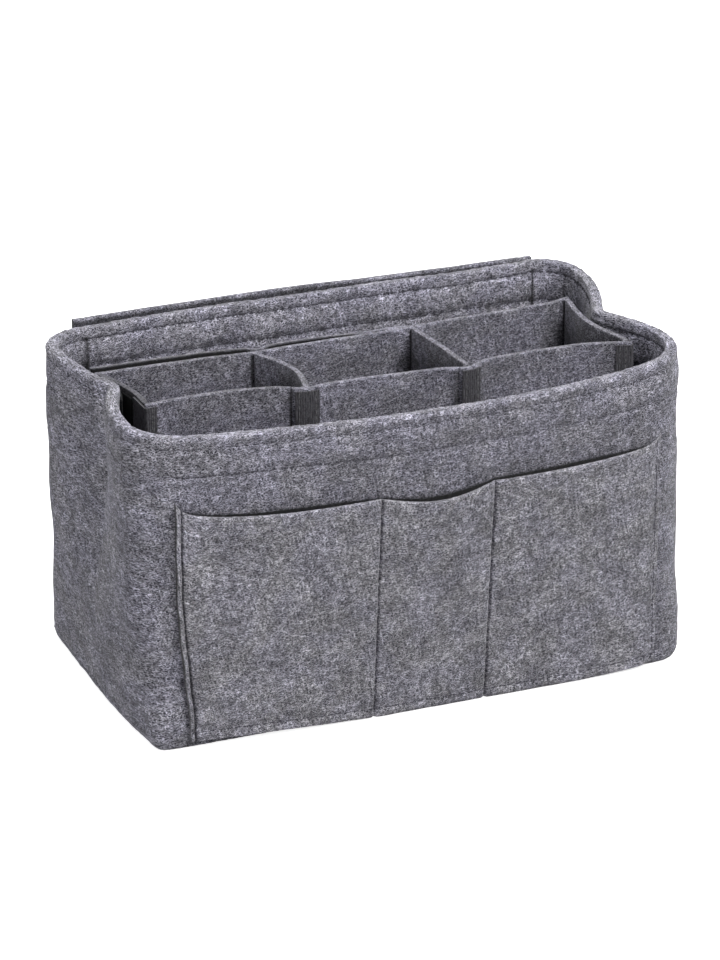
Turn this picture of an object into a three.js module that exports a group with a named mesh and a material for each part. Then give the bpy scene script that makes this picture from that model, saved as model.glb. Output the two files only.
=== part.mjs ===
// A felt purse organizer insert: an open tub of thick felt with a turned in rim, three slip
// pockets on the front, one on the back, and a lift-out divider with three cells.
// Millimetres, +Z up, front towards -Y, origin under the middle of the base.
import * as THREE from 'three';
import { mergeVertices } from 'three/addons/utils/BufferGeometryUtils.js';

// Tub: sizes over the walls just above the floor, and how the rim differs from them
const tubWidth = 306;
const tubDepth = 166;
const tubHeight = 177;
const cornerRadius = 24;
const rimFlare = 4;
const frontCornerLean = 6;
const frontBow = 22.5;
const backLean = 4;
const backBow = 3;

// Tub: the soft fold in the middle of each side
const sideFoldForward = 6;
const leftFoldIn = 9.7;
const rightFoldIn = 16.4;
const foldReachFront = 45;
const foldReachBack = 55;
const foldSharpness = 1.5;
const foldStartHeight = 45;
const foldFullHeight = 135;

// Felt, hem, base
const feltThickness = 3.2;
const hemDepth = 24;
const rimRound = 1.4;
const bottomTuck = 3;
const bottomTuckHeight = 6;
const baseTurnUp = 12;
const seatGap = 0.3;

// Front pocket strip: where its edges, seams and mouths lie, and how far the mouths gape
const pocketSideInset = 17;
const leftPocketSeamOut = 29.5;
const rightPocketSeamOut = 34.5;
const pocketMouthDrop = 46;
const pocketLeftRise = 7;
const pocketRightRise = 3;
const pocketMouthSag = 2;
const pocketGape = 7;
const pocketEdgeMargin = 3.5;

// Back pocket panel
const backPanelSideInset = 17;
const backPanelRise = 2;
const backPanelBottom = 2;
const backSeamMargin = 6;
const panelStep = 8;

// Divider: how far its ends stay inside the tub's, its depth between the middles of its panels,
// where its middle lies, and how far its front is racked to one side
const dividerEndInset = 17;
const dividerDepth = 62;
const dividerDrop = 2;
const dividerFelt = 3.2;
const dividerShiftLeft = 3;
const dividerShiftForward = 6.5;
const dividerRack = 7;
const flangeWidth = 7;
const slitOpening = 2.6;

// Tapes and thread
const jointTapeWidth = 14;
const jointTapeThickness = 1;
const jointStitchInset = 3;
const gripTapeWidth = 18;
const gripTapeHeight = 20;
const gripTapeThickness = 0.9;
const gripTapeDrop = 5;
const threadRadius = 0.5;
const rimStitchDrop = 5.5;
const hemStitchDrop = 21;
const baseStitchHeight = 5.5;
const stitchEndMargin = 3;
const foldStitchMargin = 14;

// Places along the divider, as shares of its length from the left end; the joints between cells
const jointShares = [0, 0.315, 0.65, 1];
// Across the divider, as shares of its depth from the middle, at shares of its length
const backLineShares = [
  [0, 0.5], [0.12, 0.49], [0.25, 0.465], [0.315, 0.44], [0.4, 0.465], [0.55, 0.465],
  [0.65, 0.49], [0.8, 0.53], [0.92, 0.55], [1, 0.56],
];
const frontLineShares = [
  [0, -0.35], [0.07, -0.31], [0.19, -0.32], [0.26, -0.39], [0.315, -0.5], [0.37, -0.475],
  [0.5, -0.49], [0.6, -0.51], [0.65, -0.57], [0.7, -0.475], [0.78, -0.44], [0.9, -0.45],
  [0.96, -0.5], [1, -0.57],
];
// How far the two middle walls bow towards the right, as a share of the divider's depth
const middleBowShares = [0.075, 0.01];
// How far each cell's card slit stands open, as a share of slitOpening
const slitShares = [1, 0.8, 0];

// Across a tape, as shares of half its width
const tapeShares = [1, 0.5, 0, -0.5, -1];

// The least share of its full width to which a mitred corner is kept
const leastMitreShare = 0.5;

// Counts of faces
const sideSteps = 6;
const cornerSteps = 6;
const longSteps = 14;
const lineSteps = 48;
const wallSteps = 8;
const threadSides = 5;

// Finishes
const wallFelt = new THREE.MeshStandardMaterial({ color: 0x6f6f78, roughness: 0.95 });
const panelFelt = new THREE.MeshStandardMaterial({ color: 0x77777a, roughness: 0.95 });
const dividerFeltFinish = new THREE.MeshStandardMaterial({ color: 0x6b6b72, roughness: 0.95 });
const ribbedTape = new THREE.MeshStandardMaterial({ color: 0x2c2d2c, roughness: 0.85 });
const gripTape = new THREE.MeshStandardMaterial({ color: 0x202122, roughness: 0.9 });
const thread = new THREE.MeshStandardMaterial({ color: 0x4b4b50, roughness: 0.7 });

// Sizes worked out from the ones above
const halfWidth = tubWidth / 2;
const halfDepth = tubDepth / 2;
const threadLift = seatGap + threadRadius;
const gripTop = tubHeight - gripTapeDrop;
const gripBottom = gripTop - gripTapeHeight;
const dividerBottom = feltThickness + seatGap;
const dividerTop = tubHeight - dividerDrop;
const dividerLength = tubWidth - 2 * dividerEndInset;
const dividerLeft = -dividerShiftLeft - dividerLength / 2;
const sideFoldY = -sideFoldForward;
const pocketHalfWidth = halfWidth - pocketSideInset;
const pocketMouthHeight = tubHeight - pocketMouthDrop;
const backPanelHalfWidth = halfWidth - backPanelSideInset;

const clamp01 = (t) => Math.min(1, Math.max(0, t));
const lerp = (a, b, t) => a + (b - a) * t;
const smooth = (t) => clamp01(t) ** 2 * (3 - 2 * clamp01(t));

// How much the side walls are folded in at a base point: 1 on the fold, 0 past its reach
function foldShare(baseY) {
  const reach = baseY < sideFoldY ? foldReachFront : foldReachBack;
  return clamp01(1 - Math.abs(baseY - sideFoldY) / reach) ** foldSharpness;
}

// Where a point of the base outline has moved to at a height on the wall
function wallPlace(base, z) {
  const up = z / tubHeight;
  const bow = 1 - (base.x / halfWidth) ** 2;
  const frontShift = frontCornerLean - frontBow * bow;
  const backShift = backLean + backBow * bow;
  const foldIn = base.x < 0 ? leftFoldIn : -rightFoldIn;
  const fade = smooth((z - foldStartHeight) / (foldFullHeight - foldStartHeight));
  return new THREE.Vector2(
    base.x * (1 + (rimFlare * up) / halfWidth) + foldIn * foldShare(base.y) * fade,
    base.y + up * lerp(frontShift, backShift, (base.y + halfDepth) / tubDepth),
  );
}

// How far the bottom edge is tucked in under the wall
const tuckAt = (z) => bottomTuck * (1 - clamp01(z / bottomTuckHeight)) ** 2;

// Base outline of one wrap, from fold to fold, with the inside of the tub on its left hand:
// direction -1 is the front wrap, which starts on the left, and 1 the back wrap
function wrapOutline(direction) {
  const foldEdge = sideFoldY + (direction * seatGap) / 2;
  const straightX = halfWidth - cornerRadius;
  const straightY = direction * (halfDepth - cornerRadius);
  const points = [];
  const side = (end, step) => points.push(new THREE.Vector2(
    end * halfWidth,
    lerp(foldEdge, straightY, step / sideSteps),
  ));
  const corner = (end, step) => {
    const angle = (step / cornerSteps) * (Math.PI / 2);
    points.push(new THREE.Vector2(
      end * (straightX + cornerRadius * Math.cos(angle)),
      straightY + direction * cornerRadius * Math.sin(angle),
    ));
  };
  for (let i = 0; i < sideSteps; i++) side(direction, i);
  for (let i = 0; i < cornerSteps; i++) corner(direction, i);
  for (let i = 0; i < longSteps; i++) {
    const x = lerp(direction * straightX, -direction * straightX, i / longSteps);
    points.push(new THREE.Vector2(x, direction * halfDepth));
  }
  for (let i = cornerSteps; i > 0; i--) corner(-direction, i);
  for (let i = sideSteps; i >= 0; i--) side(-direction, i);
  return points;
}

// The points of an outline at a height, moved inwards from the outer face of the wall.
// The ends of an open outline move straight in, so that two wraps meet in one plane.
function wallRow(outline, z, inward, closed = false) {
  const places = outline.map((base) => wallPlace(base, z));
  const last = places.length - 1;
  const depth = inward + tuckAt(z);
  return places.map((place, i) => {
    const before = places[i > 0 ? i - 1 : closed ? last : 0];
    const after = places[i < last ? i + 1 : closed ? 0 : last];
    const normal = new THREE.Vector2(before.y - after.y, after.x - before.x).normalize();
    if (!closed && (i === 0 || i === last)) normal.set(1 / normal.x, 0);
    return new THREE.Vector3(place.x + normal.x * depth, place.y + normal.y * depth, z);
  });
}

// Outer face of the front and the back of the tub, between its corners
const faceBaseX = (x, z) => x / (1 + (rimFlare * z) / (tubHeight * halfWidth));
const frontFaceY = (x, z) =>
  wallPlace(new THREE.Vector2(faceBaseX(x, z), -halfDepth), z).y + tuckAt(z);
const backFaceY = (x, z) =>
  wallPlace(new THREE.Vector2(faceBaseX(x, z), halfDepth), z).y - tuckAt(z);

// A closed skin over a row of closed rings, with flat ends. The flat function gives the two
// coordinates in which the end rings are filled.
function skin(rings, flat) {
  const count = rings[0].length;
  const corners = [];
  const push = (...vectors) => vectors.forEach((v) => corners.push(v.x, v.y, v.z));
  for (let r = 0; r + 1 < rings.length; r++)
    for (let i = 0; i < count; i++) {
      const j = (i + 1) % count;
      push(rings[r][i], rings[r][j], rings[r + 1][j]);
      push(rings[r][i], rings[r + 1][j], rings[r + 1][i]);
    }
  const cap = (ring, forward) => {
    const shape = ring.map(flat);
    const faces = THREE.ShapeUtils.triangulateShape(shape, []);
    const areaOf = (face) => THREE.ShapeUtils.area(face.map((i) => shape[i]));
    const turn = faces.reduce((sum, face) => sum + areaOf(face), 0);
    const same = turn * THREE.ShapeUtils.area(shape) > 0 === forward;
    for (const [a, b, c] of faces)
      if (same) push(ring[a], ring[b], ring[c]);
      else push(ring[a], ring[c], ring[b]);
  };
  cap(rings[0], false);
  cap(rings[rings.length - 1], true);
  return facingOut(corners);
}

// A geometry from loose corners, with its shared corners merged and its faces pointing out
function facingOut(corners) {
  const loose = new THREE.BufferGeometry();
  loose.setAttribute('position', new THREE.Float32BufferAttribute(corners, 3));
  const geometry = mergeVertices(loose, seatGap / 1000);
  const place = geometry.getAttribute('position');
  const index = geometry.index.array;
  const at = (i) => new THREE.Vector3().fromBufferAttribute(place, index[i]);
  let volume = 0;
  for (let i = 0; i < index.length; i += 3) volume += at(i).dot(at(i + 1).cross(at(i + 2)));
  if (volume < 0)
    for (let i = 0; i < index.length; i += 3) index.set([index[i + 1], index[i]], i);
  geometry.computeVertexNormals();
  return geometry;
}

const acrossXY = (v) => new THREE.Vector2(v.x, v.y);
const acrossXZ = (v) => new THREE.Vector2(v.x, v.z);
const acrossYZ = (v) => new THREE.Vector2(v.y, v.z);

const organizer = new THREE.Group();

function addPiece(name, geometry, material) {
  const mesh = new THREE.Mesh(geometry, material);
  mesh.name = name;
  organizer.add(mesh);
}

// A line in plan moved sideways: to its left where the distance is positive
function beside(line, distanceAt) {
  const last = line.length - 1;
  return line.map((point, i) => {
    const arriving = point.clone().sub(line[Math.max(i - 1, 0)]).normalize();
    const leaving = line[Math.min(i + 1, last)].clone().sub(point).normalize();
    const along = arriving.clone().add(leaving).normalize();
    const spread = i === 0 || i === last ? 1 : Math.max(along.dot(arriving), leastMitreShare);
    const distance = distanceAt(point.x) / spread;
    return new THREE.Vector2(point.x - along.y * distance, point.y + along.x * distance);
  });
}

// The point of a line in plan at a place along X or Y
function pointOn(line, place, axis = 'x') {
  const last = line.length - 1;
  const rising = line[last][axis] > line[0][axis];
  const found = line.findIndex((point) => (point[axis] > place) === rising);
  const after = found < 0 ? last : Math.max(found, 1);
  const a = line[after - 1];
  const b = line[after];
  return a.clone().lerp(b, (place - a[axis]) / (b[axis] - a[axis]));
}

// The stretch of a line in plan between two places along X or Y
function stretch(line, from, to, axis = 'x') {
  const way = Math.sign(to - from);
  const inside = line.filter((point) =>
    Math.min((point[axis] - from) * way, (to - point[axis]) * way) > seatGap);
  inside.sort((a, b) => (a[axis] - b[axis]) * way);
  return [pointOn(line, from, axis), ...inside, pointOn(line, to, axis)];
}

// An upright strip: a line in plan, thickened to both sides and raised between two heights
function uprightStrip(line, thickness, bottom, top) {
  const left = beside(line, () => thickness / 2);
  const right = beside(line, () => -thickness / 2);
  const outline = new THREE.Shape([...right, ...left.reverse()]);
  const settings = { depth: top - bottom, bevelEnabled: false };
  return new THREE.ExtrudeGeometry(outline, settings).translate(0, 0, bottom);
}

// A path that runs straight from point to point, and is sampled at the points themselves
class PointPath extends THREE.Curve {
  constructor(points) {
    super();
    this.points = points;
  }

  getPoint(t) {
    const along = clamp01(t) * (this.points.length - 1);
    const i = Math.min(Math.floor(along), this.points.length - 2);
    return this.points[i].clone().lerp(this.points[i + 1], along - i);
  }

  getUtoTmapping(u) {
    return u;
  }
}

// A run of thread through points, as a thin rod
function threadRun(points) {
  const section = new THREE.Shape();
  for (let i = 0; i < threadSides; i++) {
    const angle = (i / threadSides) * 2 * Math.PI;
    const x = threadRadius * Math.cos(angle);
    const y = threadRadius * Math.sin(angle);
    if (i === 0) section.moveTo(x, y);
    else section.lineTo(x, y);
  }
  section.closePath();
  return new THREE.ExtrudeGeometry(section, {
    extrudePath: new PointPath(points),
    steps: points.length - 1,
    bevelEnabled: false,
  });
}

// The wall wraps: single felt up to the hem, doubled by the turned in hem up to the rim
const wrapProfile = [
  [0, 0], [bottomTuckHeight, 0], [foldStartHeight, 0],
  [(foldStartHeight + foldFullHeight) / 2, 0], [foldFullHeight, 0],
  [tubHeight - rimRound, 0], [tubHeight, rimRound], [tubHeight, 2 * feltThickness - rimRound],
  [tubHeight - rimRound, 2 * feltThickness], [tubHeight - hemDepth, 2 * feltThickness],
  [tubHeight - hemDepth, feltThickness], [foldFullHeight, feltThickness],
  [(foldStartHeight + foldFullHeight) / 2, feltThickness], [foldStartHeight, feltThickness],
  [bottomTuckHeight, feltThickness], [0, feltThickness],
];

function wallWrap(direction) {
  const outline = wrapOutline(direction);
  const rows = wrapProfile.map(([z, inward]) => wallRow(outline, z, inward));
  return skin(outline.map((_, i) => rows.map((row) => row[i])), acrossXZ);
}

addPiece('front_wall_wrap', wallWrap(-1), wallFelt);
addPiece('back_wall_wrap', wallWrap(1), wallFelt);

// The base: a felt floor with its edge turned up inside the walls
const wholeOutline = [...wrapOutline(-1), ...wrapOutline(1)].filter(
  (point, i, all) => i === 0 || point.distanceTo(all[i - 1]) > 2 * seatGap,
);
const baseProfile = [
  [0, feltThickness + seatGap],
  [bottomTuckHeight, feltThickness + seatGap],
  [baseTurnUp, feltThickness + seatGap],
  [baseTurnUp, 2 * feltThickness + seatGap],
  [bottomTuckHeight, 2 * feltThickness + seatGap],
  [feltThickness, 2 * feltThickness + seatGap],
];
addPiece(
  'base_panel',
  skin(baseProfile.map(([z, inward]) => wallRow(wholeOutline, z, inward, true)), acrossXY),
  wallFelt,
);

// Panels on the outside of the tub: rings across the panel, with one at each stop along X and
// the others spread evenly between the stops
const levelShares = [0, 0.35, 0.6, 0.8, 1];

function outerPanel(stops, bottom, topAt, standOff, faceY, outward) {
  const places = [stops[0]];
  for (let i = 1; i < stops.length; i++) {
    const count = Math.ceil((stops[i] - stops[i - 1]) / panelStep);
    for (let n = 1; n <= count; n++) places.push(lerp(stops[i - 1], stops[i], n / count));
  }
  const rings = [];
  for (const x of places) {
    const climb = levelShares.map((share) => lerp(bottomTuckHeight, topAt(x), share));
    const levels = [bottom, ...climb];
    const point = (z, away) => new THREE.Vector3(x, faceY(x, z) + outward * away, z);
    const inner = levels.map((z) => point(z, standOff(x, z)));
    const outer = levels.map((z) => point(z, standOff(x, z) + feltThickness));
    rings.push([...inner, ...outer.reverse()]);
  }
  return skin(rings, acrossYZ);
}

// The front pocket strip: three slip pockets whose mouths gape a little between the seams
const pocketSeamsX = [
  -pocketHalfWidth + pocketEdgeMargin,
  -leftPocketSeamOut,
  rightPocketSeamOut,
  pocketHalfWidth - pocketEdgeMargin,
];

// Across one pocket: 0 on its seams and 1 in its middle
function pocketMiddleShare(x) {
  const right = pocketSeamsX.findIndex((seam) => seam > x);
  if (right < 1) return 0;
  const width = pocketSeamsX[right] - pocketSeamsX[right - 1];
  return Math.sin((Math.PI * (x - pocketSeamsX[right - 1])) / width);
}

function pocketMouthZ(x) {
  const leftShare = clamp01((-leftPocketSeamOut - x) / (pocketHalfWidth - leftPocketSeamOut));
  const rightShare = clamp01((x - rightPocketSeamOut) / (pocketHalfWidth - rightPocketSeamOut));
  const rise = pocketLeftRise * leftShare ** 3 + pocketRightRise * rightShare ** 3;
  return pocketMouthHeight + rise - pocketMouthSag * pocketMiddleShare(x);
}

const pocketStandOff = (x, z) =>
  seatGap + pocketGape * pocketMiddleShare(x) * clamp01(z / pocketMouthZ(x)) ** 2;

addPiece(
  'front_pocket_panel',
  outerPanel(
    [-pocketHalfWidth, ...pocketSeamsX, pocketHalfWidth],
    0,
    pocketMouthZ,
    pocketStandOff,
    frontFaceY,
    -1,
  ),
  panelFelt,
);

// The back pocket panel, flat on the back wall and a little higher than the rim
addPiece(
  'back_pocket_panel',
  outerPanel(
    [-backPanelHalfWidth, backPanelHalfWidth],
    backPanelBottom,
    () => tubHeight + backPanelRise,
    () => seatGap,
    backFaceY,
    1,
  ),
  wallFelt,
);

// The loop side of each pair of grip tapes, on the inner face of the hem over the side fold
function foldBand(side, inward, thickness) {
  const halfBand = gripTapeWidth / 2;
  const outline = tapeShares.map((share) =>
    new THREE.Vector2(side * halfWidth, sideFoldY - side * share * halfBand));
  const ring = (z, depth) => outline.map((base) => {
    const place = wallPlace(base, z);
    return new THREE.Vector3(place.x - side * depth, place.y, z);
  });
  const nearLow = ring(gripBottom, inward);
  const nearTop = ring(gripTop, inward);
  const farLow = ring(gripBottom, inward + thickness);
  const farTop = ring(gripTop, inward + thickness);
  const rings = outline.map((_, i) => [nearLow[i], nearTop[i], farTop[i], farLow[i]]);
  return skin(rings, acrossXZ);
}

// How far in from the outer face, along X, the hem's inner face lies on the fold
function hemInward(foldIn) {
  const slope = (foldSharpness * foldIn) / foldReachFront;
  return 2 * feltThickness * Math.hypot(1, slope);
}

for (const [name, side, foldIn] of [['left', -1, leftFoldIn], ['right', 1, rightFoldIn]]) {
  const inward = hemInward(foldIn) + seatGap;
  addPiece(name + '_loop_tape', foldBand(side, inward, gripTapeThickness), gripTape);
}

// The divider: lines in plan through the points given as shares
function planLine(shares, rack) {
  const points = shares.map(([along, across]) => new THREE.Vector3(
    dividerLeft + along * dividerLength + rack,
    -dividerShiftForward + across * dividerDepth,
    0,
  ));
  return new THREE.CatmullRomCurve3(points).getSpacedPoints(lineSteps).map(acrossXY);
}

const backLine = planLine(backLineShares, -dividerRack / 2);
const frontLine = planLine(frontLineShares, dividerRack / 2);

const jointsX = (rack) => jointShares.map((share) => dividerLeft + share * dividerLength + rack);
const backJoints = jointsX(-dividerRack / 2);
const frontJoints = jointsX(dividerRack / 2);

// Which way each wall's flanges turn: the left end wall's to the right, the others' to the left
const flangeTurns = [1, -1, -1, -1];

function slitAt(x) {
  const cell = backJoints.findIndex((joint, i) => i > 0 && x < joint);
  if (cell < 1 || x < backJoints[0]) return 0;
  const share = (x - backJoints[cell - 1]) / (backJoints[cell] - backJoints[cell - 1]);
  return slitOpening * slitShares[cell - 1] * Math.sin(Math.PI * share) ** 0.7;
}

const layerStep = dividerFelt + seatGap;
const rearLine = beside(backLine, (x) => layerStep + slitAt(x));
const backInnerLine = beside(backLine, () => -layerStep);
const frontInnerLine = beside(frontLine, () => layerStep);
const addDividerPiece = (name, line, thickness, material) =>
  addPiece(name, uprightStrip(line, thickness, dividerBottom, dividerTop), material);

addDividerPiece('divider_front_panel', frontLine, dividerFelt, dividerFeltFinish);
addDividerPiece('divider_back_lining', backLine, dividerFelt, dividerFeltFinish);
addDividerPiece('divider_back_panel', rearLine, dividerFelt, dividerFeltFinish);

// Where the middle of an end wall must lie along X, to leave room for its pair of grip tapes
function endWallX(side) {
  const foldIn = side < 0 ? leftFoldIn : rightFoldIn;
  const stack = hemInward(foldIn) + 2 * gripTapeThickness + 3 * seatGap + dividerFelt / 2;
  return wallPlace(new THREE.Vector2(side * halfWidth, sideFoldY), gripBottom).x - side * stack;
}
const foldY = wallPlace(new THREE.Vector2(halfWidth, sideFoldY), dividerTop).y;

// A wall across the divider, and at each end of it a flange that lies on the panel it is sewn to
function crossWall(i) {
  const endSide = i === 0 ? -1 : i === jointShares.length - 1 ? 1 : 0;
  const inset = (endSide * dividerFelt) / 2;
  const reach = flangeTurns[i] * (flangeWidth + dividerFelt);
  const flange = (line, corner) => stretch(line, corner - inset, corner - inset + reach);
  const onBack = flange(backInnerLine, backJoints[i]).reverse();
  const onFront = flange(frontInnerLine, frontJoints[i]);
  const from = onBack.pop();
  const to = onFront.shift();
  const foldAlong = (from.y - foldY) / (from.y - to.y);
  const bow = endSide
    ? (endWallX(endSide) - lerp(from.x, to.x, foldAlong)) / Math.sin(Math.PI * foldAlong)
    : middleBowShares[i - 1] * dividerDepth;
  const across = [];
  for (let n = 0; n <= wallSteps; n++) {
    const point = from.clone().lerp(to, n / wallSteps);
    point.x += bow * Math.sin((Math.PI * n) / wallSteps);
    across.push(point);
  }
  return { across, whole: [...onBack, ...across, ...onFront] };
}

const wallNames = ['left_end_wall', 'left_cross_wall', 'right_cross_wall', 'right_end_wall'];
const walls = wallNames.map((_, i) => crossWall(i));
wallNames.forEach((name, i) =>
  addDividerPiece(name, walls[i].whole, dividerFelt, dividerFeltFinish));

// The hook side of each pair of grip tapes, on the outer face of the end wall
const tapeOffset = (tapeThickness) => dividerFelt / 2 + seatGap + tapeThickness / 2;
for (const [name, side, wall] of [['left', -1, walls[0]], ['right', 1, walls[3]]]) {
  const outside = beside(wall.across, () => side * tapeOffset(gripTapeThickness));
  const line = stretch(outside, foldY + gripTapeWidth / 2, foldY - gripTapeWidth / 2, 'y');
  const geometry = uprightStrip(line, gripTapeThickness, gripBottom, gripTop);
  addPiece(name + '_hook_tape', geometry, gripTape);
}

// Ribbed tapes over the joints on the front of the divider, each sewn down by two runs
const tapeNames = ['first', 'second', 'third', 'fourth'];
const tapeShifts = [jointTapeWidth / 2, 0, 0, -jointTapeWidth / 2];
const tapeLine = beside(frontLine, () => -tapeOffset(jointTapeThickness));
const tapeThreadLine = beside(tapeLine, () => -jointTapeThickness / 2 - threadLift);
const rearThreadLine = beside(rearLine, () => dividerFelt / 2 + threadLift);
tapeNames.forEach((name, i) => {
  const middle = frontJoints[i] + tapeShifts[i];
  const line = stretch(tapeLine, middle - jointTapeWidth / 2, middle + jointTapeWidth / 2);
  addDividerPiece(name + '_joint_tape', line, jointTapeThickness, ribbedTape);
  for (const [sideName, side] of [['left', -1], ['right', 1]]) {
    const x = middle + side * (jointTapeWidth / 2 - jointStitchInset);
    addUprightThread(name + '_joint_' + sideName + '_thread', pointOn(tapeThreadLine, x));
  }
  const x = backJoints[i] + flangeTurns[i] * (dividerFelt / 2 + flangeWidth / 2);
  addUprightThread(name + '_joint_back_thread', pointOn(rearThreadLine, x));
});

function addUprightThread(name, place) {
  const ends = [dividerBottom + stitchEndMargin, dividerTop - stitchEndMargin];
  const points = ends.map((z) => new THREE.Vector3(place.x, place.y, z));
  addPiece(name, threadRun(points), thread);
}

// Thread round the rim and along the lower edge of the hem: outside on the front wrap,
// inside on the back wrap
for (const [name, direction, inward] of [
  ['front', -1, -threadLift],
  ['back', 1, 2 * feltThickness + threadLift],
])
  for (const [rowName, drop] of [['rim', rimStitchDrop], ['hem', hemStitchDrop]]) {
    const outline = wrapOutline(direction);
    const row = wallRow(outline, tubHeight - drop, inward);
    const run = row.filter((_, i) => Math.abs(outline[i].y - sideFoldY) > foldStitchMargin);
    addPiece(name + '_' + rowName + '_thread', threadRun(run), thread);
  }

// Thread through the bottom edge: over the pocket strip, the back panel and the two sides
const onPocket = (x, z) => {
  const away = pocketStandOff(x, z) + feltThickness + threadLift;
  return new THREE.Vector3(x, frontFaceY(x, z) - away, z);
};
const onBackPanel = (x, z) =>
  new THREE.Vector3(x, backFaceY(x, z) + seatGap + feltThickness + threadLift, z);
const runAcross = (halfSpan, place) => {
  const points = [];
  for (let i = 0; i <= longSteps; i++)
    points.push(place(lerp(-halfSpan, halfSpan, i / longSteps), baseStitchHeight));
  return threadRun(points);
};
const stitchHalfSpan = pocketHalfWidth - stitchEndMargin;
addPiece('front_base_thread', runAcross(stitchHalfSpan, onPocket), thread);
addPiece('back_base_thread', runAcross(stitchHalfSpan, onBackPanel), thread);
for (const [name, side] of [['left', -1], ['right', 1]]) {
  const row = wallRow(wholeOutline, baseStitchHeight, -threadLift, true);
  const run = row
    .filter((point) => side * point.x > pocketHalfWidth + stitchEndMargin)
    .sort((a, b) => a.y - b.y);
  addPiece(name + '_base_thread', threadRun(run), thread);
}

// Thread down the seams of the front pockets and the sides of the back pocket
const seamNames = ['left_edge', 'left_middle', 'right_middle', 'right_edge'];
const runUp = (x, top, place) => {
  const points = [];
  const low = baseStitchHeight + stitchEndMargin;
  for (let i = 0; i <= sideSteps; i++) points.push(place(x, lerp(low, top, i / sideSteps)));
  return threadRun(points);
};
seamNames.forEach((name, i) => {
  const x = pocketSeamsX[i];
  addPiece('pocket_' + name + '_thread', runUp(x, pocketMouthZ(x) - threadRadius, onPocket), thread);
});
for (const [name, side] of [['left', -1], ['right', 1]]) {
  const x = side * (backPanelHalfWidth - backSeamMargin);
  addPiece('back_pocket_' + name + '_thread', runUp(x, tubHeight - rimStitchDrop, onBackPanel), thread);
}

export default organizer;
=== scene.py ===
"""The looks of a felt purse organizer insert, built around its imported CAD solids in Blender.

A tub of thick heathered felt with a turned in rim, three slip pockets on its front and one on its
back, and a lift-out divider whose panels and walls are sewn together with ribbed tape.
"""
import math

import bpy
import numpy as np
from bpy.props import FloatProperty, FloatVectorProperty, PointerProperty
from bpy.types import Operator, Panel, PropertyGroup
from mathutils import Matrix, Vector


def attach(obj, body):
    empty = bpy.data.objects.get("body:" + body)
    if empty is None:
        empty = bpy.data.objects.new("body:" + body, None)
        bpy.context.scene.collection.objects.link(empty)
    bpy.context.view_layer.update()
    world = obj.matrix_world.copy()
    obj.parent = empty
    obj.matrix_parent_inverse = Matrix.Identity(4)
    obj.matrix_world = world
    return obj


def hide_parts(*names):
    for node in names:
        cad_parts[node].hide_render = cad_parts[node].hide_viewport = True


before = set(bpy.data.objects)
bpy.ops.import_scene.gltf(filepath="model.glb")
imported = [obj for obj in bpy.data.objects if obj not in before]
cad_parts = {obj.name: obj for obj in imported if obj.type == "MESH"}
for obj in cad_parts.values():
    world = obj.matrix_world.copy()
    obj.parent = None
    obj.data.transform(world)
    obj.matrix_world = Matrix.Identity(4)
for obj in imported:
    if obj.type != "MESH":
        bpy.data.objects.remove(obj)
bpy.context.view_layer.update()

bl_info = {
    "name": "Felt Purse Organizer",
    "version": (1, 0, 0),
    "blender": (4, 5, 0),
    "location": "3D View > Sidebar > Organizer",
    "description": "Builds the felt, tapes and stitching of a purse organizer insert",
    "category": "Object",
}

TAU = 2 * math.pi
MM = 0.001
SURFACE_MAP = "surface"
# The point attribute of painted light, above 0, and of painted shade, below 0
PAINTED_LIGHT_AND_SHADE = "mark"
TINY = 1e-6

# The gap between felts that lie against one another
SEAT_GAP = 0.3 * MM

# The soft fold in the middle of each side: how sharp its crease is, and the heights where it
# starts and where it has its full depth
FOLD_SHARPNESS = 1.5
FOLD_START = 45 * MM
FOLD_FULL = 135 * MM

# How far the left and right sides swell out, in metres, at shares of the tub's height, and how
# much of that the left side loses low down at the front
BELLY_HEIGHTS = (0, 0.1, 0.3, 0.5, 0.75, 1)
BELLY_LEFT = (0.0043, 0.0043, 0.0043, 0.0038, 0.0026, 0.0020)
BELLY_RIGHT = (0.0040, 0.0040, 0.0022, 0.0012, -0.0010, -0.0012)
BELLY_FRONT_LOSS = 1.5

# How square the upright corners are at the floor, left and right: 2 is a plain round corner
FLOOR_SQUARENESS = (6.0, 3.0)
SQUARENESS_END = 55 * MM

# How deep the seams of the front pockets draw the felt in, from left to right, in metres
SEAM_DEPTHS = (0.0020, 0.0018, 0.0018, 0.0002)

# How much higher the left end of the back panel stands
BACK_LEFT_LIFT = 1.4 * MM

# How much of a stitch's pull comes and goes along the row, and how deep the thread sits in it
DIMPLE_SWING = 0.38
SEAT_SHARE = 0.6

# Places along the divider and across it, as shares of its length and of its depth
JOINT_SHARES = (0, 0.315, 0.65, 1)
BACK_LINE = (
    (-0.011, 0.5), (0.12, 0.49), (0.25, 0.465), (0.315, 0.44), (0.4, 0.465), (0.55, 0.465),
    (0.65, 0.49), (0.8, 0.53), (0.92, 0.55), (1.008, 0.56),
)
FRONT_LINE = (
    (0, -0.35), (0.07, -0.31), (0.19, -0.32), (0.26, -0.39), (0.315, -0.5), (0.37, -0.475),
    (0.5, -0.49), (0.6, -0.51), (0.65, -0.57), (0.7, -0.475), (0.78, -0.44), (0.9, -0.45),
    (0.96, -0.5), (1.004, -0.57),
)

# The divider's walls from left to right: the sides of the end walls, how far the middle two bow,
# as shares of the depth, how narrow each bow is, how far the ends lie to the right of the joints,
# in metres, and the way the front ends turn
WALL_SIDES = (-1, 0, 0, 1)
MIDDLE_BOW_SHARES = (0.115, 0.01)
WALL_BOW_POWERS = (1, 1, 1, 1.8)
BACK_END_SHIFTS = (-0.003, 0, 0.002, 0.002)
FRONT_END_SHIFTS = (0, 0.0015, 0.001, 0.001)
FLANGE_TURNS = (1, -1, -1, -1)

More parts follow.
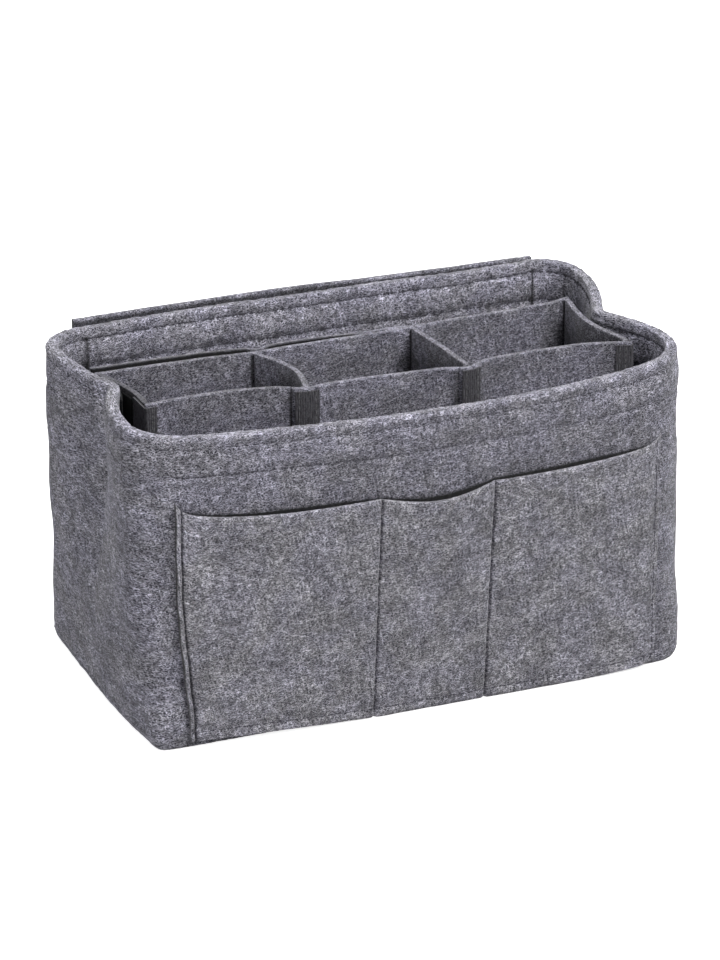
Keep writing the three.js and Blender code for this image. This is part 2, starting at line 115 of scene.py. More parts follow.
# How wide the card slit is open along the divider, as a share of its size
SLIT_LINE = (
    (0, 1.0), (0.08, 1.05), (0.2, 1.0), (0.27, 0.9), (0.293, 0.75), (0.305, 0.1), (0.325, 0.0),
    (0.338, 0.5), (0.36, 0.62), (0.42, 0.6), (0.48, 0.35), (0.53, 0.05), (0.56, 0), (1, 0),
)
WALL_NAMES = ("left_end_wall", "left_cross_wall", "right_cross_wall", "right_end_wall")
TAPE_NAMES = ("first", "second", "third", "fourth")

# Edges sharper than this aren't shaded smooth
SHARP_EDGE = math.radians(50)


def size(name, description, default):
    """A length in metres that a user can change"""
    return FloatProperty(name=name, description=description, default=default, unit="LENGTH",
                         precision=5, step=0.01)


def tone(name, description, red, green, blue):
    """A colour that a user can change, given as it looks on a screen from 0 to 255"""
    return FloatVectorProperty(name=name, description=description, subtype="COLOR", size=3,
                               default=[linear(value) for value in (red, green, blue)],
                               min=0, max=1)


def linear(value):
    """The linear light of a screen value from 0 to 255"""
    share = value / 255
    return share / 12.92 if share <= 0.04045 else ((share + 0.055) / 1.055) ** 2.4


class OrganizerTub(PropertyGroup):
    """Sizes of the felt tub"""
    width: size("Width", "Width over the walls just above the floor", 0.306)
    depth: size("Depth", "Depth over the walls just above the floor", 0.166)
    height: size("Height", "Height of the rim", 0.177)
    corner: size("Corner radius", "Radius of the upright corners", 0.024)
    felt: size("Felt thickness", "Thickness of one layer of felt", 0.0032)
    hem: size("Hem depth", "How far the rim is turned in", 0.024)
    flare: size("Rim flare", "How far each side leans out at the rim", 0.004)
    front_lean: size("Front corner lean", "How far the front corners lean in at the rim", 0.006)
    front_bow: size("Front bow", "How far the front bows out between its corners", 0.0225)
    back_lean: size("Back lean", "How far the back leans out at the rim", 0.004)
    back_bow: size("Back bow", "How far the back bows out between its corners", 0.003)
    left_fold: size("Left fold", "How far the left side is folded in at the rim", 0.0097)
    right_fold: size("Right fold", "How far the right side is folded in at the rim", 0.0164)
    fold_forward: size("Fold forward", "How far the side folds lie ahead of the middle", 0.006)
    reach_front: size("Fold reach front", "Length of the fold ahead of its crease", 0.045)
    reach_back: size("Fold reach back", "Length of the fold behind its crease", 0.055)


class OrganizerPockets(PropertyGroup):
    """Sizes of the pockets on the outside"""
    inset: size("Side inset", "How far the strip's ends stay inside the tub's", 0.017)
    left_seam: size("Left seam", "Distance of the left seam from the middle", 0.0302)
    right_seam: size("Right seam", "Distance of the right seam from the middle", 0.0338)
    drop: size("Mouth drop", "How far the mouths lie below the rim", 0.0449)
    left_rise: size("Left rise", "How far the left mouth climbs to its end", 0.0044)
    left_tip: size("Left tip", "How much higher the strip's left tip is", 0.0065)
    right_tip: size("Right tip", "How much higher the strip's right tip is", 0.006)
    sag: size("Mouth sag", "How far the middle mouth sags between its seams", 0.0040)
    left_gape: size("Left gape", "How far the left mouth stands off the wall", 0.003)
    gape: size("Middle gape", "How far the middle mouth stands off the wall", 0.0045)
    right_gape: size("Right gape", "How far the right mouth stands off the wall", 0.0025)
    back_rise: size("Back rise", "How far the back panel stands over the rim", 0.002)


class OrganizerDivider(PropertyGroup):
    """Sizes of the lift-out divider"""
    inset: size("End inset", "How far its ends stay inside the tub's", 0.017)
    depth: size("Depth", "Depth between the middles of its panels", 0.062)
    drop: size("Drop", "How far its top lies below the rim", 0.002)
    shift_left: size("Shift left", "How far its middle lies left of the tub's", 0.003)
    shift_forward: size("Shift forward", "How far its middle lies ahead of the tub's", 0.0065)
    rack: size("Rack", "How far its front is racked to the right of its back", 0.007)
    flange: size("Flange", "Width of the turned ends of its walls", 0.007)
    slit: size("Card slit", "How far the card slit stands open", 0.0042)
    tape_width: size("Tape width", "Width of the ribbed tape over a joint", 0.014)
    rib_pitch: size("Rib pitch", "Distance between the ribs of the tape", 0.00125)
    grip_width: size("Grip width", "Width of the hook and loop tapes", 0.018)
    grip_height: size("Grip height", "Height of the hook and loop tapes", 0.020)


class OrganizerThread(PropertyGroup):
    """Sizes of the stitching"""
    pitch: size("Pitch", "Distance from stitch to stitch", 0.0047)
    radius: size("Thread radius", "Radius of the sewing thread", 0.00024)
    pull: size("Pull", "How deep a stitch pulls the felt in", 0.0005)
    rim_drop: size("Rim row", "Distance of the rim row from the rim", 0.0055)
    hem_drop: size("Hem row", "Distance of the hem row from the rim", 0.021)
    base_rise: size("Base row", "Height of the row along the bottom", 0.0055)


class OrganizerColours(PropertyGroup):
    """Colours of the felt, the tapes and the thread"""
    wall: tone("Wall felt", "Middle tone of the felt of the tub", 113, 112, 120)
    pocket: tone("Pocket felt", "Middle tone of the felt of the pockets", 121, 120, 126)
    divider: tone("Divider felt", "Middle tone of the felt of the divider", 101, 100, 108)
    ribbed: tone("Ribbed tape", "Colour of the tape over the joints", 61, 60, 64)
    grip: tone("Grip tape", "Colour of the hook and loop tapes", 26, 27, 28)
    thread: tone("Thread", "Colour of the sewing thread of the rim and pockets", 60, 59, 66)
    pale_thread: tone("Joint thread", "Colour of the sewing thread of the joints", 96, 95, 97)


class OrganizerSettings(PropertyGroup):
    """Everything that a user can change on the organizer"""
    tub: PointerProperty(type=OrganizerTub)
    pockets: PointerProperty(type=OrganizerPockets)
    divider: PointerProperty(type=OrganizerDivider)
    thread: PointerProperty(type=OrganizerThread)
    colours: PointerProperty(type=OrganizerColours)


def settings():
    """The organizer's settings in the open scene"""
    return bpy.context.scene.felt_organizer


# Plain sums

def smooth(share):
    """A soft step from 0 to 1"""
    held = np.clip(share, 0, 1)
    return held * held * (3 - 2 * held)


def bell(away, width):
    """1 where a distance is 0, falling off softly on both sides"""
    return np.exp(-(away / width) ** 2)


def fading(distance, reach):
    """1 at 0 and below, dying away over a reach"""
    return np.exp(-np.maximum(distance, 0) / reach)


def march(start, end, marks, fine, coarse, growth=0.35, last=1.5):
    """Stations from start to end, whose steps grow with the distance from the nearest mark"""
    way = 1 if end > start else -1
    stations = [start]
    while True:
        here = stations[-1]
        near = min((abs(here - mark) for mark in marks), default=coarse)
        step = min(coarse, max(fine, growth * near))
        if (end - here) * way < last * step:
            break
        stations.append(here + way * step)
    return np.array(stations + [end])


def section(corners, marks=(), fine=0.5 * MM, coarse=5 * MM, arc_steps=4):
    """A closed outline through square corners, each given as (offset, height, rounding)"""
    points = []
    count = len(corners)
    for k, (offset, height, rounding) in enumerate(corners):
        corner = np.array((offset, height))
        before = np.subtract(corners[k - 1][:2], corner)
        after = np.subtract(corners[(k + 1) % count][:2], corner)
        before = before / np.linalg.norm(before)
        after = after / np.linalg.norm(after)
        centre = corner + (before + after) * rounding
        for n in range(arc_steps + 1):
            angle = n / arc_steps * TAU / 4
            points.append(centre - rounding * (after * math.cos(angle) + before * math.sin(angle)))
        next_corner = corners[(k + 1) % count]
        stop = np.array(next_corner[:2]) - after * next_corner[2]
        start = points[-1]
        axis = int(abs(after[1]) > abs(after[0]))
        stations = march(start[axis], stop[axis], marks if axis else (), fine, coarse)
        for station in stations[1:-1]:
            share = (station - start[axis]) / (stop[axis] - start[axis])
            points.append(start + share * (stop - start))
    return np.array(points)


def along(points):
    """Distances along a line of points, from its start"""
    steps = np.linalg.norm(np.diff(points, axis=0), axis=1)
    return np.concatenate([[0], np.cumsum(steps)])


def resample(line, step):
    """Points evenly spaced along a line"""
    lengths = along(line)
    count = max(2, int(round(lengths[-1] / step)) + 1)
    places = np.linspace(0, lengths[-1], count)
    return np.stack([np.interp(places, lengths, line[:, k]) for k in range(line.shape[1])], axis=1)


def round_line(outline):
    """Distances round an outline, as a column"""
    return along(np.vstack([outline, outline[:1]]))[:-1][:, None]


def left_of(line):
    """Unit vectors to the left of a line in plan"""
    step = np.gradient(line, axis=0)
    step = step / np.linalg.norm(step, axis=1)[:, None]
    return np.stack([-step[:, 1], step[:, 0]], axis=1)


def beside(line, distance):
    """A line in plan moved to its left"""
    return line + left_of(line) * np.broadcast_to(distance, len(line))[:, None]


def on_line(line, x):
    """Points of a line that runs along X, at places along X"""
    return np.stack([x, np.interp(x, line[:, 0], line[:, 1])], axis=-1)


def length_at(line, x):
    """How long a line that runs along X is up to a place along X"""
    return float(np.interp(x, line[:, 0], along(line)))


def off_line(line, left, offset, height):
    """A grid of points above a line in plan, moved off to its left"""
    return np.stack([line[:, :1] + left[:, :1] * offset, line[:, 1:] + left[:, 1:] * offset,
                     height], axis=-1)


def softened(line, passes):
    """A line whose corners are rounded by repeated averaging, with its ends held"""
    line = line.copy()
    for _ in range(passes):
        line[1:-1] = line[1:-1] / 2 + (line[:-2] + line[2:]) / 4
    return line


def curve_through(points, count, per_span=24):
    """Evenly spaced points on a centripetal curve through the given ones"""
    points = np.asarray(points, float)
    ends = np.vstack([2 * points[0] - points[1], points, 2 * points[-1] - points[-2]])
    pieces = []
    share = np.linspace(0, 1, per_span, endpoint=False)[:, None]
    for a, b, c, d in zip(ends[:-3], ends[1:-2], ends[2:-1], ends[3:]):
        before, middle, after = (np.linalg.norm(q - p) ** 0.5 for p, q in ((a, b), (b, c), (c, d)))
        start = (b - a) / before - (c - a) / (before + middle) + (c - b) / middle
        end = (c - b) / middle - (d - b) / (middle + after) + (d - c) / after
        start, end = start * middle, end * middle
        square = -3 * b + 3 * c - 2 * start - end
        cube = 2 * b - 2 * c + start + end
        pieces.append(b + share * start + share ** 2 * square + share ** 3 * cube)
    line = np.vstack(pieces + [points[-1:]])
    return resample(line, along(line)[-1] / (count - 1))


class Ripple:
    """Gentle unevenness over a surface: a few long waves added up, the same on every run"""

    def __init__(self, seed, shortest, longest, height, waves=9):
        draw = np.random.default_rng(seed)
        lengths = np.exp(draw.uniform(math.log(shortest), math.log(longest), waves))
        turns = draw.uniform(0, TAU, waves)
        self.across = TAU / lengths * np.cos(turns)
        self.up = TAU / lengths * np.sin(turns)
        self.phase = draw.uniform(0, TAU, waves)
        weight = lengths / lengths.sum()
        self.height = height * weight / np.linalg.norm(weight)

    def __call__(self, across, up):
        total = 0
        for a, b, c, d in zip(self.across, self.up, self.phase, self.height):
            total = total + d * np.sin(a * across + b * up + c)
        return total


# Meshes

def add_object(name, data):
    """A new object in the open scene"""
    thing = bpy.data.objects.new(name, data)
    bpy.context.scene.collection.objects.link(thing)
    return thing


def mesh_piece(name, points, faces, map_places, finish, marks=None):
    """A mesh object with smooth faces, a surface map in metres and marks: above 0 where an edge is
    paler with painted light, below 0 where the felt has painted shade"""
    mesh = bpy.data.meshes.new(name)
    mesh.from_pydata(points.tolist(), [], faces)
    layer = mesh.uv_layers.new(name=SURFACE_MAP)
    layer.data.foreach_set("uv", np.asarray(map_places, np.float32).ravel())
    if marks is None:
        marks = np.zeros(len(points))
    attribute = mesh.attributes.new(PAINTED_LIGHT_AND_SHADE, "FLOAT", "POINT")
    attribute.data.foreach_set("value", np.asarray(marks, np.float32).ravel())
    mesh.shade_smooth()
    mesh.set_sharp_from_angle(angle=SHARP_EDGE)
    mesh.materials.append(finish_of(finish))
    return add_object(name, mesh)


def grid_faces(columns, rows, closed):
    """Square faces of a grid whose rows close up, and their corners as (column, row) pairs"""
    starts = np.arange(columns if closed else columns - 1)
    i, j = np.meshgrid(starts, np.arange(rows), indexing="ij")
    corners = np.stack([np.stack([i, j], -1), np.stack([i + 1, j], -1),
                        np.stack([i + 1, j + 1], -1), np.stack([i, j + 1], -1)], axis=2)
    return corners.reshape(-1, 4, 2)


def loft(name, grid, finish, closed=False, marks=None, stretch=1.0):
    """A skin over rings: grid[column, row] are points, and each ring closes up. Going up a ring
    while the rings run on has the outside on the right. Open lofts get flat ends. Stretch draws
    the surface map out along the columns."""
    columns, rows = grid.shape[:2]
    corners = grid_faces(columns, rows, closed)
    faces = (corners[..., 0] % columns) * rows + corners[..., 1] % rows
    around = np.vstack([grid, grid[:1]]) if closed else grid
    run = np.linalg.norm(np.diff(around, axis=0), axis=2).mean(axis=1) / stretch
    across = np.concatenate([[0], np.cumsum(run)])
    ring = np.concatenate([grid, grid[:, :1]], axis=1)
    rise = np.linalg.norm(np.diff(ring, axis=1), axis=2).mean(axis=0)
    up = np.concatenate([[0], np.cumsum(rise)])
    places = np.stack([across[corners[..., 0]], up[corners[..., 1]]], axis=-1).reshape(-1, 2)
    face_list = faces.tolist()
    if not closed:
        for column, order in ((0, slice(None, None, -1)), (columns - 1, slice(None))):
            ids = (column * rows + np.arange(rows))[order]
            face_list.append(ids.tolist())
            ends = grid[column][order]
            flat = np.stack([np.hypot(*(ends[:, :2] - ends[0, :2]).T), ends[:, 2]], axis=1)
            places = np.vstack([places, flat + across[column]])
    if marks is not None:
        marks = np.broadcast_to(marks, (columns, rows)).ravel()
    return mesh_piece(name, grid.reshape(-1, 3), face_list, places, finish, marks)


def finish_piece(piece, body, slot, *nodes):
    """Rides a finished piece on its body, in place of its CAD nodes"""
    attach(piece, body)
    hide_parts(*nodes)


# Nodes

class Signal:
    """An output of a node, with arithmetic that adds Math nodes"""

    def __init__(self, wires, socket):
        self.wires = wires
        self.socket = socket

    def math(self, operation, other):
        """A Math node of this output and another or a number"""
        return self.wires.add("ShaderNodeMath", {"operation": operation}, {0: self, 1: other})

    def __add__(self, other):
        return self.math("ADD", other)

    def __sub__(self, other):
        return self.math("SUBTRACT", other)

    def __mul__(self, other):
        return self.math("MULTIPLY", other)

    def maximum(self, other):
        """The greater of this output and another or a number"""
        return self.math("MAXIMUM", other)

    def out(self, name):
        """Another output of the same node"""
        return Signal(self.wires, self.socket.node.outputs[name])


class Wires:
    """Adds nodes to a tree and joins them"""

    def __init__(self, tree):
        self.tree = tree

    def add(self, kind, choices=None, sockets=None):
        """A node of a type, with its settings made and then its sockets filled or linked"""
        node = self.tree.nodes.new(kind)
        for key, value in (choices or {}).items():
            setattr(node, key, value)
        for key, value in (sockets or {}).items():
            socket = self.socket_of(node, key)
            if isinstance(value, Signal):
                self.tree.links.new(value.socket, socket)
            else:
                socket.default_value = value
        enabled = [output for output in node.outputs if output.enabled]
        return Signal(self, enabled[0]) if enabled else node

    @staticmethod
    def socket_of(node, key):
        """An input by its place, or by the name of one that is in use"""
        if isinstance(key, int):
            return node.inputs[key]
        return next(socket for socket in node.inputs if socket.enabled and socket.name == key)

    def ramp(self, value, low, high, start=0.0, end=1.0):
        """A value stretched from low and high to start and end, and held there"""
        return self.add("ShaderNodeMapRange", {"interpolation_type": "SMOOTHSTEP"},
                        {"Value": value, "From Min": low, "From Max": high,
                         "To Min": start, "To Max": end})

    def mix(self, share, first, second, blend="MIX"):
        """Two colours mixed by a share"""
        return self.add("ShaderNodeMix", {"data_type": "RGBA", "blend_type": blend},
                        {"Factor": share, "A": first, "B": second})


# Materials

GLOSS = 0.2
SHEEN_ROUGHNESS = 0.5


def new_material(name):
    """An empty node material, and the wires of its tree"""
    material = bpy.data.materials.new(name)
    material.use_nodes = True
    material.node_tree.nodes.clear()
    return material, Wires(material.node_tree)


def finish_material(wires, colour, roughness, normal, sheen):
    """The surface shader and the output of a material"""
    shader = wires.add("ShaderNodeBsdfPrincipled", None, {
        "Base Color": colour, "Roughness": roughness, "Specular IOR Level": GLOSS,
        "Sheen Weight": sheen, "Sheen Roughness": SHEEN_ROUGHNESS, "Normal": normal})
    wires.add("ShaderNodeOutputMaterial", None, {"Surface": shader})


def shade(colour, factor, blue=1.0):
    """A colour made darker or paler, and a little bluer or less so, with an alpha of 1"""
    return (min(colour[0] * factor, 1), min(colour[1] * factor, 1),
            min(colour[2] * factor * blue, 1), 1)


# Fibres in the felt: length and width of the noise cells that they curl round, their thickness
# as a share of the noise, and the turn and the shift of each layer of them
PALE_CELL = (2.2 * MM, 0.75 * MM)
DEEP_CELL = (1.8 * MM, 0.8 * MM)
PALE_THICKNESS = 0.11
DEEP_THICKNESS = 0.12
PALE_LAYER = (0.2, 0)
DEEP_LAYERS = ((1.8, 7), (2.85, 9))
LAYER_SHIFT = (0.013, 0.029)
CURL = 0.4

# How strongly the fibres show, and their tones as shares of the middle tone
DEEP_COVER = 0.85
MOST_COVER = 0.96
PALE_COVER = 0.8
DEEP_TONE = 0.2
DEEP_BLUE = 1.12
PALE_GAIN = 2.0
PALE_BLUE = 0.985

# The speckled ground: its grain, and how its tones spread
GRAIN = 0.8 * MM
GRAIN_SPREAD = 0.175
GRAIN_LOSS = 0.73
GRAIN_GAIN = 0.6
LEAST_TONE = 0.02

# Clouds in the felt: length, detail, and the darkest and palest factor
CLOUDS = ((18 * MM, 3.0, 0.8, 1.2), (4 * MM, 2.0, 0.7, 1.3))
CLOUD_RANGE = (0.3, 0.7)
HUE_SHIFT = (0.31, 0.17, 0)
HUE_LENGTH = 22 * MM
HUE_RANGE = (0.35, 0.65)
WARM_TINT = (1.0, 0.995, 0.985, 1)
COOL_TINT = (0.985, 0.98, 1.03, 1)
# How much painted light lifts the felt where the mark is above 0
PAINTED_LIGHT_GAIN = (1.32, 1.32, 1.32, 1)

# The felt's roughness, sheen and relief, and its contrast on each part
FELT_ROUGHNESS = 0.95
FELT_SHEEN = 0.2
FELT_RELIEF = (0.4, 0.3 * MM)
GROUND_HEIGHT = 0.8
WALL_CONTRAST = 1.32
POCKET_CONTRAST = 1.18
DIVIDER_CONTRAST = 1.22

# Tapes and thread: the range of their noise that is drawn out, its darkest and palest tone as
# shares of the colour, the roughness, strength and height of the relief, and the sheen
RIBBED_LOOK = (0.7, 1.3, 0.45, 1.7, 0.8, 0.5, 0.2 * MM, 0.1)
GRIP_LOOK = (0.35, 0.7, 0.5, 1.8, 0.9, 0.6, 0.2 * MM, 0)
THREAD_LOOK = (0.35, 0.65, 0.6, 1.5, 0.75, 0.4, 0.1 * MM, 0)
RIBBED_STRAND = (0.5 * MM, 4 * MM, 1)
RIBBED_SPECK = 0.7 * MM
GRIP_SPECK = 0.5 * MM
THREAD_TWIST = 0.4 * MM


def surface_map(wires):
    """The piece's own surface map, in metres"""
    return wires.add("ShaderNodeUVMap", {"uv_map": SURFACE_MAP})


def relief(wires, strength, distance, height):
    """A fine relief whose height is a value"""
    return wires.add("ShaderNodeBump", None, {
        "Strength": strength, "Distance": distance, "Height": height})


def strands(wires, surface, layer, cell, thickness):
    """Short curling strands: the level lines of a noise drawn out along one direction"""
    turn, shift = layer
    lined = wires.add("ShaderNodeMapping", {"vector_type": "TEXTURE"}, {
        "Vector": surface, "Rotation": (0, 0, turn), "Scale": (cell[0], cell[1], 1),
        "Location": (LAYER_SHIFT[0] * shift, LAYER_SHIFT[1] * shift, 0)})
    noise = wires.add("ShaderNodeTexNoise", {"noise_dimensions": "2D"}, {
        "Vector": lined, "Scale": 1.0, "Detail": 0.0, "Distortion": CURL})
    away = wires.add("ShaderNodeMath", {"operation": "ABSOLUTE"}, {0: noise - 0.5})
    return wires.ramp(away, 0.0, thickness, 1.0, 0.0)


def cloudy(wires, surface, length, detail, roughness=0.6):
    """A noise over the surface whose patches are about as long as given"""
    return wires.add("ShaderNodeTexNoise", {"noise_dimensions": "2D"}, {
        "Vector": surface, "Scale": 1 / length, "Detail": detail, "Roughness": roughness})


def felt_material(name, middle, contrast):
    """Heathered felt: short pale and dark fibres over a speckled, faintly cloudy ground"""
    wires = new_material(name)[1]
    surface = surface_map(wires)
    pale_mask = strands(wires, surface, PALE_LAYER, PALE_CELL, PALE_THICKNESS)
    first, second = (strands(wires, surface, layer, DEEP_CELL, DEEP_THICKNESS)
                     for layer in DEEP_LAYERS)
    deep_mask = first.maximum(second)
    fine = cloudy(wires, surface, GRAIN, 2.0)
    half = GRAIN_SPREAD / contrast
    colour = wires.mix(wires.ramp(fine, 0.5 - half, 0.5 + half),
                       shade(middle, max(1 - GRAIN_LOSS * contrast, LEAST_TONE)),
                       shade(middle, 1 + GRAIN_GAIN * contrast))
    colour = wires.mix(deep_mask * min(DEEP_COVER * contrast, MOST_COVER), colour,
                       shade(middle, DEEP_TONE, DEEP_BLUE))
    colour = wires.mix(pale_mask * PALE_COVER, colour,
                       shade(middle, 1 + PALE_GAIN * contrast, PALE_BLUE))
    for length, detail, low, high in CLOUDS:
        cloud = wires.ramp(cloudy(wires, surface, length, detail), *CLOUD_RANGE)
        bright = wires.mix(cloud, (low, low, low, 1), (high, high, high, 1))
        colour = wires.mix(1.0, colour, bright, "MULTIPLY")
    elsewhere = wires.add("ShaderNodeVectorMath", {"operation": "ADD"}, {0: surface, 1: HUE_SHIFT})
    hue = wires.ramp(cloudy(wires, elsewhere, HUE_LENGTH, 2.0), *HUE_RANGE)
    colour = wires.mix(1.0, colour, wires.mix(hue, WARM_TINT, COOL_TINT), "MULTIPLY")
    # Painted light where the mark is above 0, and painted shade towards black where it is below 0
    mark = wires.add("ShaderNodeAttribute", {"attribute_name": PAINTED_LIGHT_AND_SHADE}).out("Fac")
    lit = wires.mix(1.0, colour, PAINTED_LIGHT_GAIN, "MULTIPLY")
    colour = wires.mix(mark.maximum(0.0), colour, lit)
    colour = wires.mix((mark * -1.0).maximum(0.0), colour, shade(middle, LEAST_TONE))
    height = pale_mask + fine * GROUND_HEIGHT - deep_mask * GROUND_HEIGHT
    raised = relief(wires, *FELT_RELIEF, height)
    finish_material(wires, colour, FELT_ROUGHNESS, raised, FELT_SHEEN)


def ribbed_noise(wires):
    """Specks, and strands drawn out along the ribs"""
    surface = surface_map(wires)
    lined = wires.add("ShaderNodeMapping", {"vector_type": "TEXTURE"}, {
        "Vector": surface, "Scale": RIBBED_STRAND})
    strand = wires.add("ShaderNodeTexNoise", {"noise_dimensions": "2D"}, {
        "Vector": lined, "Scale": 1.0, "Detail": 1.0})
    return cloudy(wires, surface, RIBBED_SPECK, 2.0) + strand


def grip_noise(wires):
    """Specks in a matt weave"""
    return cloudy(wires, surface_map(wires), GRIP_SPECK, 2.0, 0.7)


def thread_noise(wires):
    """The twist of a thread"""
    place = wires.add("ShaderNodeTexCoord").out("Object")
    return wires.add("ShaderNodeTexNoise", None, {
        "Vector": place, "Scale": 1 / THREAD_TWIST, "Detail": 1.0})


def plain_material(name, colour, noise_of, look):
    """A colour made darker and paler by a noise that also gives the relief"""
    low, high, dark, pale, roughness, strength, height, sheen = look
    wires = new_material(name)[1]
    noise = noise_of(wires)
    tinted = wires.mix(wires.ramp(noise, low, high), shade(colour, dark), shade(colour, pale))
    finish_material(wires, tinted, roughness, relief(wires, strength, height, noise), sheen)


def finish_of(kind):
    """The material of a kind, made when it is first asked for"""
    colours = settings().colours
    makers = {
        "heather_of_walls": (felt_material, colours.wall, WALL_CONTRAST),
        "heather_of_pockets": (felt_material, colours.pocket, POCKET_CONTRAST),
        "heather_of_divider": (felt_material, colours.divider, DIVIDER_CONTRAST),
        "ribbed_weave": (plain_material, colours.ribbed, ribbed_noise, RIBBED_LOOK),
        "grip_weave": (plain_material, colours.grip, grip_noise, GRIP_LOOK),
        "sewing_thread": (plain_material, colours.thread, thread_noise, THREAD_LOOK),
        "joint_thread": (plain_material, colours.pale_thread, thread_noise, THREAD_LOOK),
    }
    if kind not in bpy.data.materials:
        maker, *values = makers[kind]
        maker(kind, *values)
    return bpy.data.materials[kind]


# Stitches, made along routes by Geometry Nodes

# Length of a stitch as a share of the pitch; how far its arch stands up and its ends sink, in
# thread radii; how far it turns out of line; and the detail of its mesh
STITCH_SHARE = 0.74
STITCH_ARCH = 1.5
STITCH_SINK = 1.0
STITCH_WOBBLE = 0.09
STITCH_STEPS = 5
THREAD_SIDES = 6


def stitch_tree():
    """A node tree that lays arched stitches along a mesh's edges, standing on its out vectors"""
    if "stitches" in bpy.data.node_groups:
        return bpy.data.node_groups["stitches"]
    tree = bpy.data.node_groups.new("stitches", "GeometryNodeTree")
    face = tree.interface
    face.new_socket("Geometry", in_out="INPUT", socket_type="NodeSocketGeometry")
    for label in ("Pitch", "Length", "Radius"):
        face.new_socket(label, in_out="INPUT", socket_type="NodeSocketFloat")
    face.new_socket("Seed", in_out="INPUT", socket_type="NodeSocketInt")
    face.new_socket("Material", in_out="INPUT", socket_type="NodeSocketMaterial")
    face.new_socket("Geometry", in_out="OUTPUT", socket_type="NodeSocketGeometry")
    wires = Wires(tree)
    given = wires.add("NodeGroupInput")
    pitch, length, radius = (given.out(label) for label in ("Pitch", "Length", "Radius"))
    route = wires.add("GeometryNodeMeshToCurve", None, {"Mesh": given.out("Geometry")})
    spaced = wires.add("GeometryNodeResampleCurve", {"mode": "LENGTH"},
                       {"Curve": route, "Length": pitch})
    tangent = wires.add("GeometryNodeInputTangent")
    out = wires.add("GeometryNodeInputNamedAttribute", {"data_type": "FLOAT_VECTOR"},
                    {"Name": "out"})
    lying = wires.add("FunctionNodeAlignRotationToVector", {"axis": "X"}, {"Vector": tangent})
    standing = wires.add("FunctionNodeAlignRotationToVector", {"axis": "Z", "pivot_axis": "X"},
                         {"Rotation": lying, "Vector": out})
    wobble = wires.add("FunctionNodeRandomValue", {"data_type": "FLOAT_VECTOR"},
                       {"Min": (0, 0, -STITCH_WOBBLE), "Max": (0, 0, STITCH_WOBBLE),
                        "Seed": given.out("Seed")})
    turned = wires.add("FunctionNodeRotateRotation", {"rotation_space": "LOCAL"}, {
        "Rotation": standing,
        "Rotate By": wires.add("FunctionNodeEulerToRotation", None, {"Euler": wobble})})
    half = length * 0.5
    ends = [wires.add("ShaderNodeCombineXYZ", None, {"X": x, "Z": radius * -STITCH_SINK})
            for x in (half * -1, half)]
    top = wires.add("ShaderNodeCombineXYZ", None, {"Z": radius * STITCH_ARCH})
    arch = wires.add("GeometryNodeCurveQuadraticBezier", None,
                     {"Resolution": STITCH_STEPS, "Start": ends[0], "Middle": top, "End": ends[1]})
    ring = wires.add("GeometryNodeCurvePrimitiveCircle", None,
                     {"Resolution": THREAD_SIDES, "Radius": radius})
    stitch = wires.add("GeometryNodeCurveToMesh", None,
                       {"Curve": arch, "Profile Curve": ring, "Fill Caps": True})
    placed = wires.add("GeometryNodeInstanceOnPoints", None,
                       {"Points": spaced, "Instance": stitch, "Rotation": turned})
    real = wires.add("GeometryNodeRealizeInstances", None, {"Geometry": placed})
    even = wires.add("GeometryNodeSetShadeSmooth", None, {"Geometry": real})
    dressed = wires.add("GeometryNodeSetMaterial", None,
                        {"Geometry": even, "Material": given.out("Material")})
    wires.add("NodeGroupOutput", None, {"Geometry": dressed})
    return tree


def run_tree(carrier, tree, values, name):
    """Runs a node tree on an object, and puts a plain mesh of the result in its place"""
    modifier = carrier.modifiers.new(tree.name, "NODES")
    modifier.node_group = tree
    for item in tree.interface.items_tree:
        if item.in_out == "INPUT" and item.name in values:
            modifier[item.identifier] = values[item.name]
    bpy.context.view_layer.update()
    graph = bpy.context.evaluated_depsgraph_get()
    mesh = bpy.data.meshes.new_from_object(carrier.evaluated_get(graph))
    mesh.name = name
    bpy.data.objects.remove(carrier)
    return add_object(name, mesh)


def stitching(name, routes, seed, pitch=None, finish="sewing_thread"):
    """One mesh of stitches along routes, each a pair of points and the outward vectors there"""
    thread = settings().thread
    pitch = pitch or thread.pitch
    points = np.vstack([route[0] for route in routes])
    outs = np.vstack([route[1] for route in routes])
    edges = []
    start = 0
    for line, _ in routes:
        edges += [(start + i, start + i + 1) for i in range(len(line) - 1)]
        start += len(line)
    mesh = bpy.data.meshes.new(name + "_route")
    mesh.from_pydata(points.tolist(), edges, [])
    attribute = mesh.attributes.new("out", "FLOAT_VECTOR", "POINT")
    attribute.data.foreach_set("vector", outs.astype(np.float32).ravel())
    values = {"Pitch": pitch, "Length": pitch * STITCH_SHARE, "Radius": thread.radius,
              "Seed": seed, "Material": finish_of(finish)}
    return run_tree(add_object(name + "_route", mesh), stitch_tree(), values, name)


# The tub

OUTLINE_STEP = 1.18 * MM
CORNER_STEPS = 23
PROBE = 1 * MM

# How high the rounded bottom edge goes, how deep it is drawn in under the wall, and how much of
# that the panels on the outside follow
TUCK_HEIGHT = 8 * MM
TUCK_DEPTH = 3.6 * MM
PANEL_TUCK_SHARE = 0.3

# Where the belly of the left side gives way at the front, and how it rounds off to the corners
BELLY_LOSS_START = 20 * MM
BELLY_LOSS_LENGTH = 60 * MM
BELLY_POWER = 4

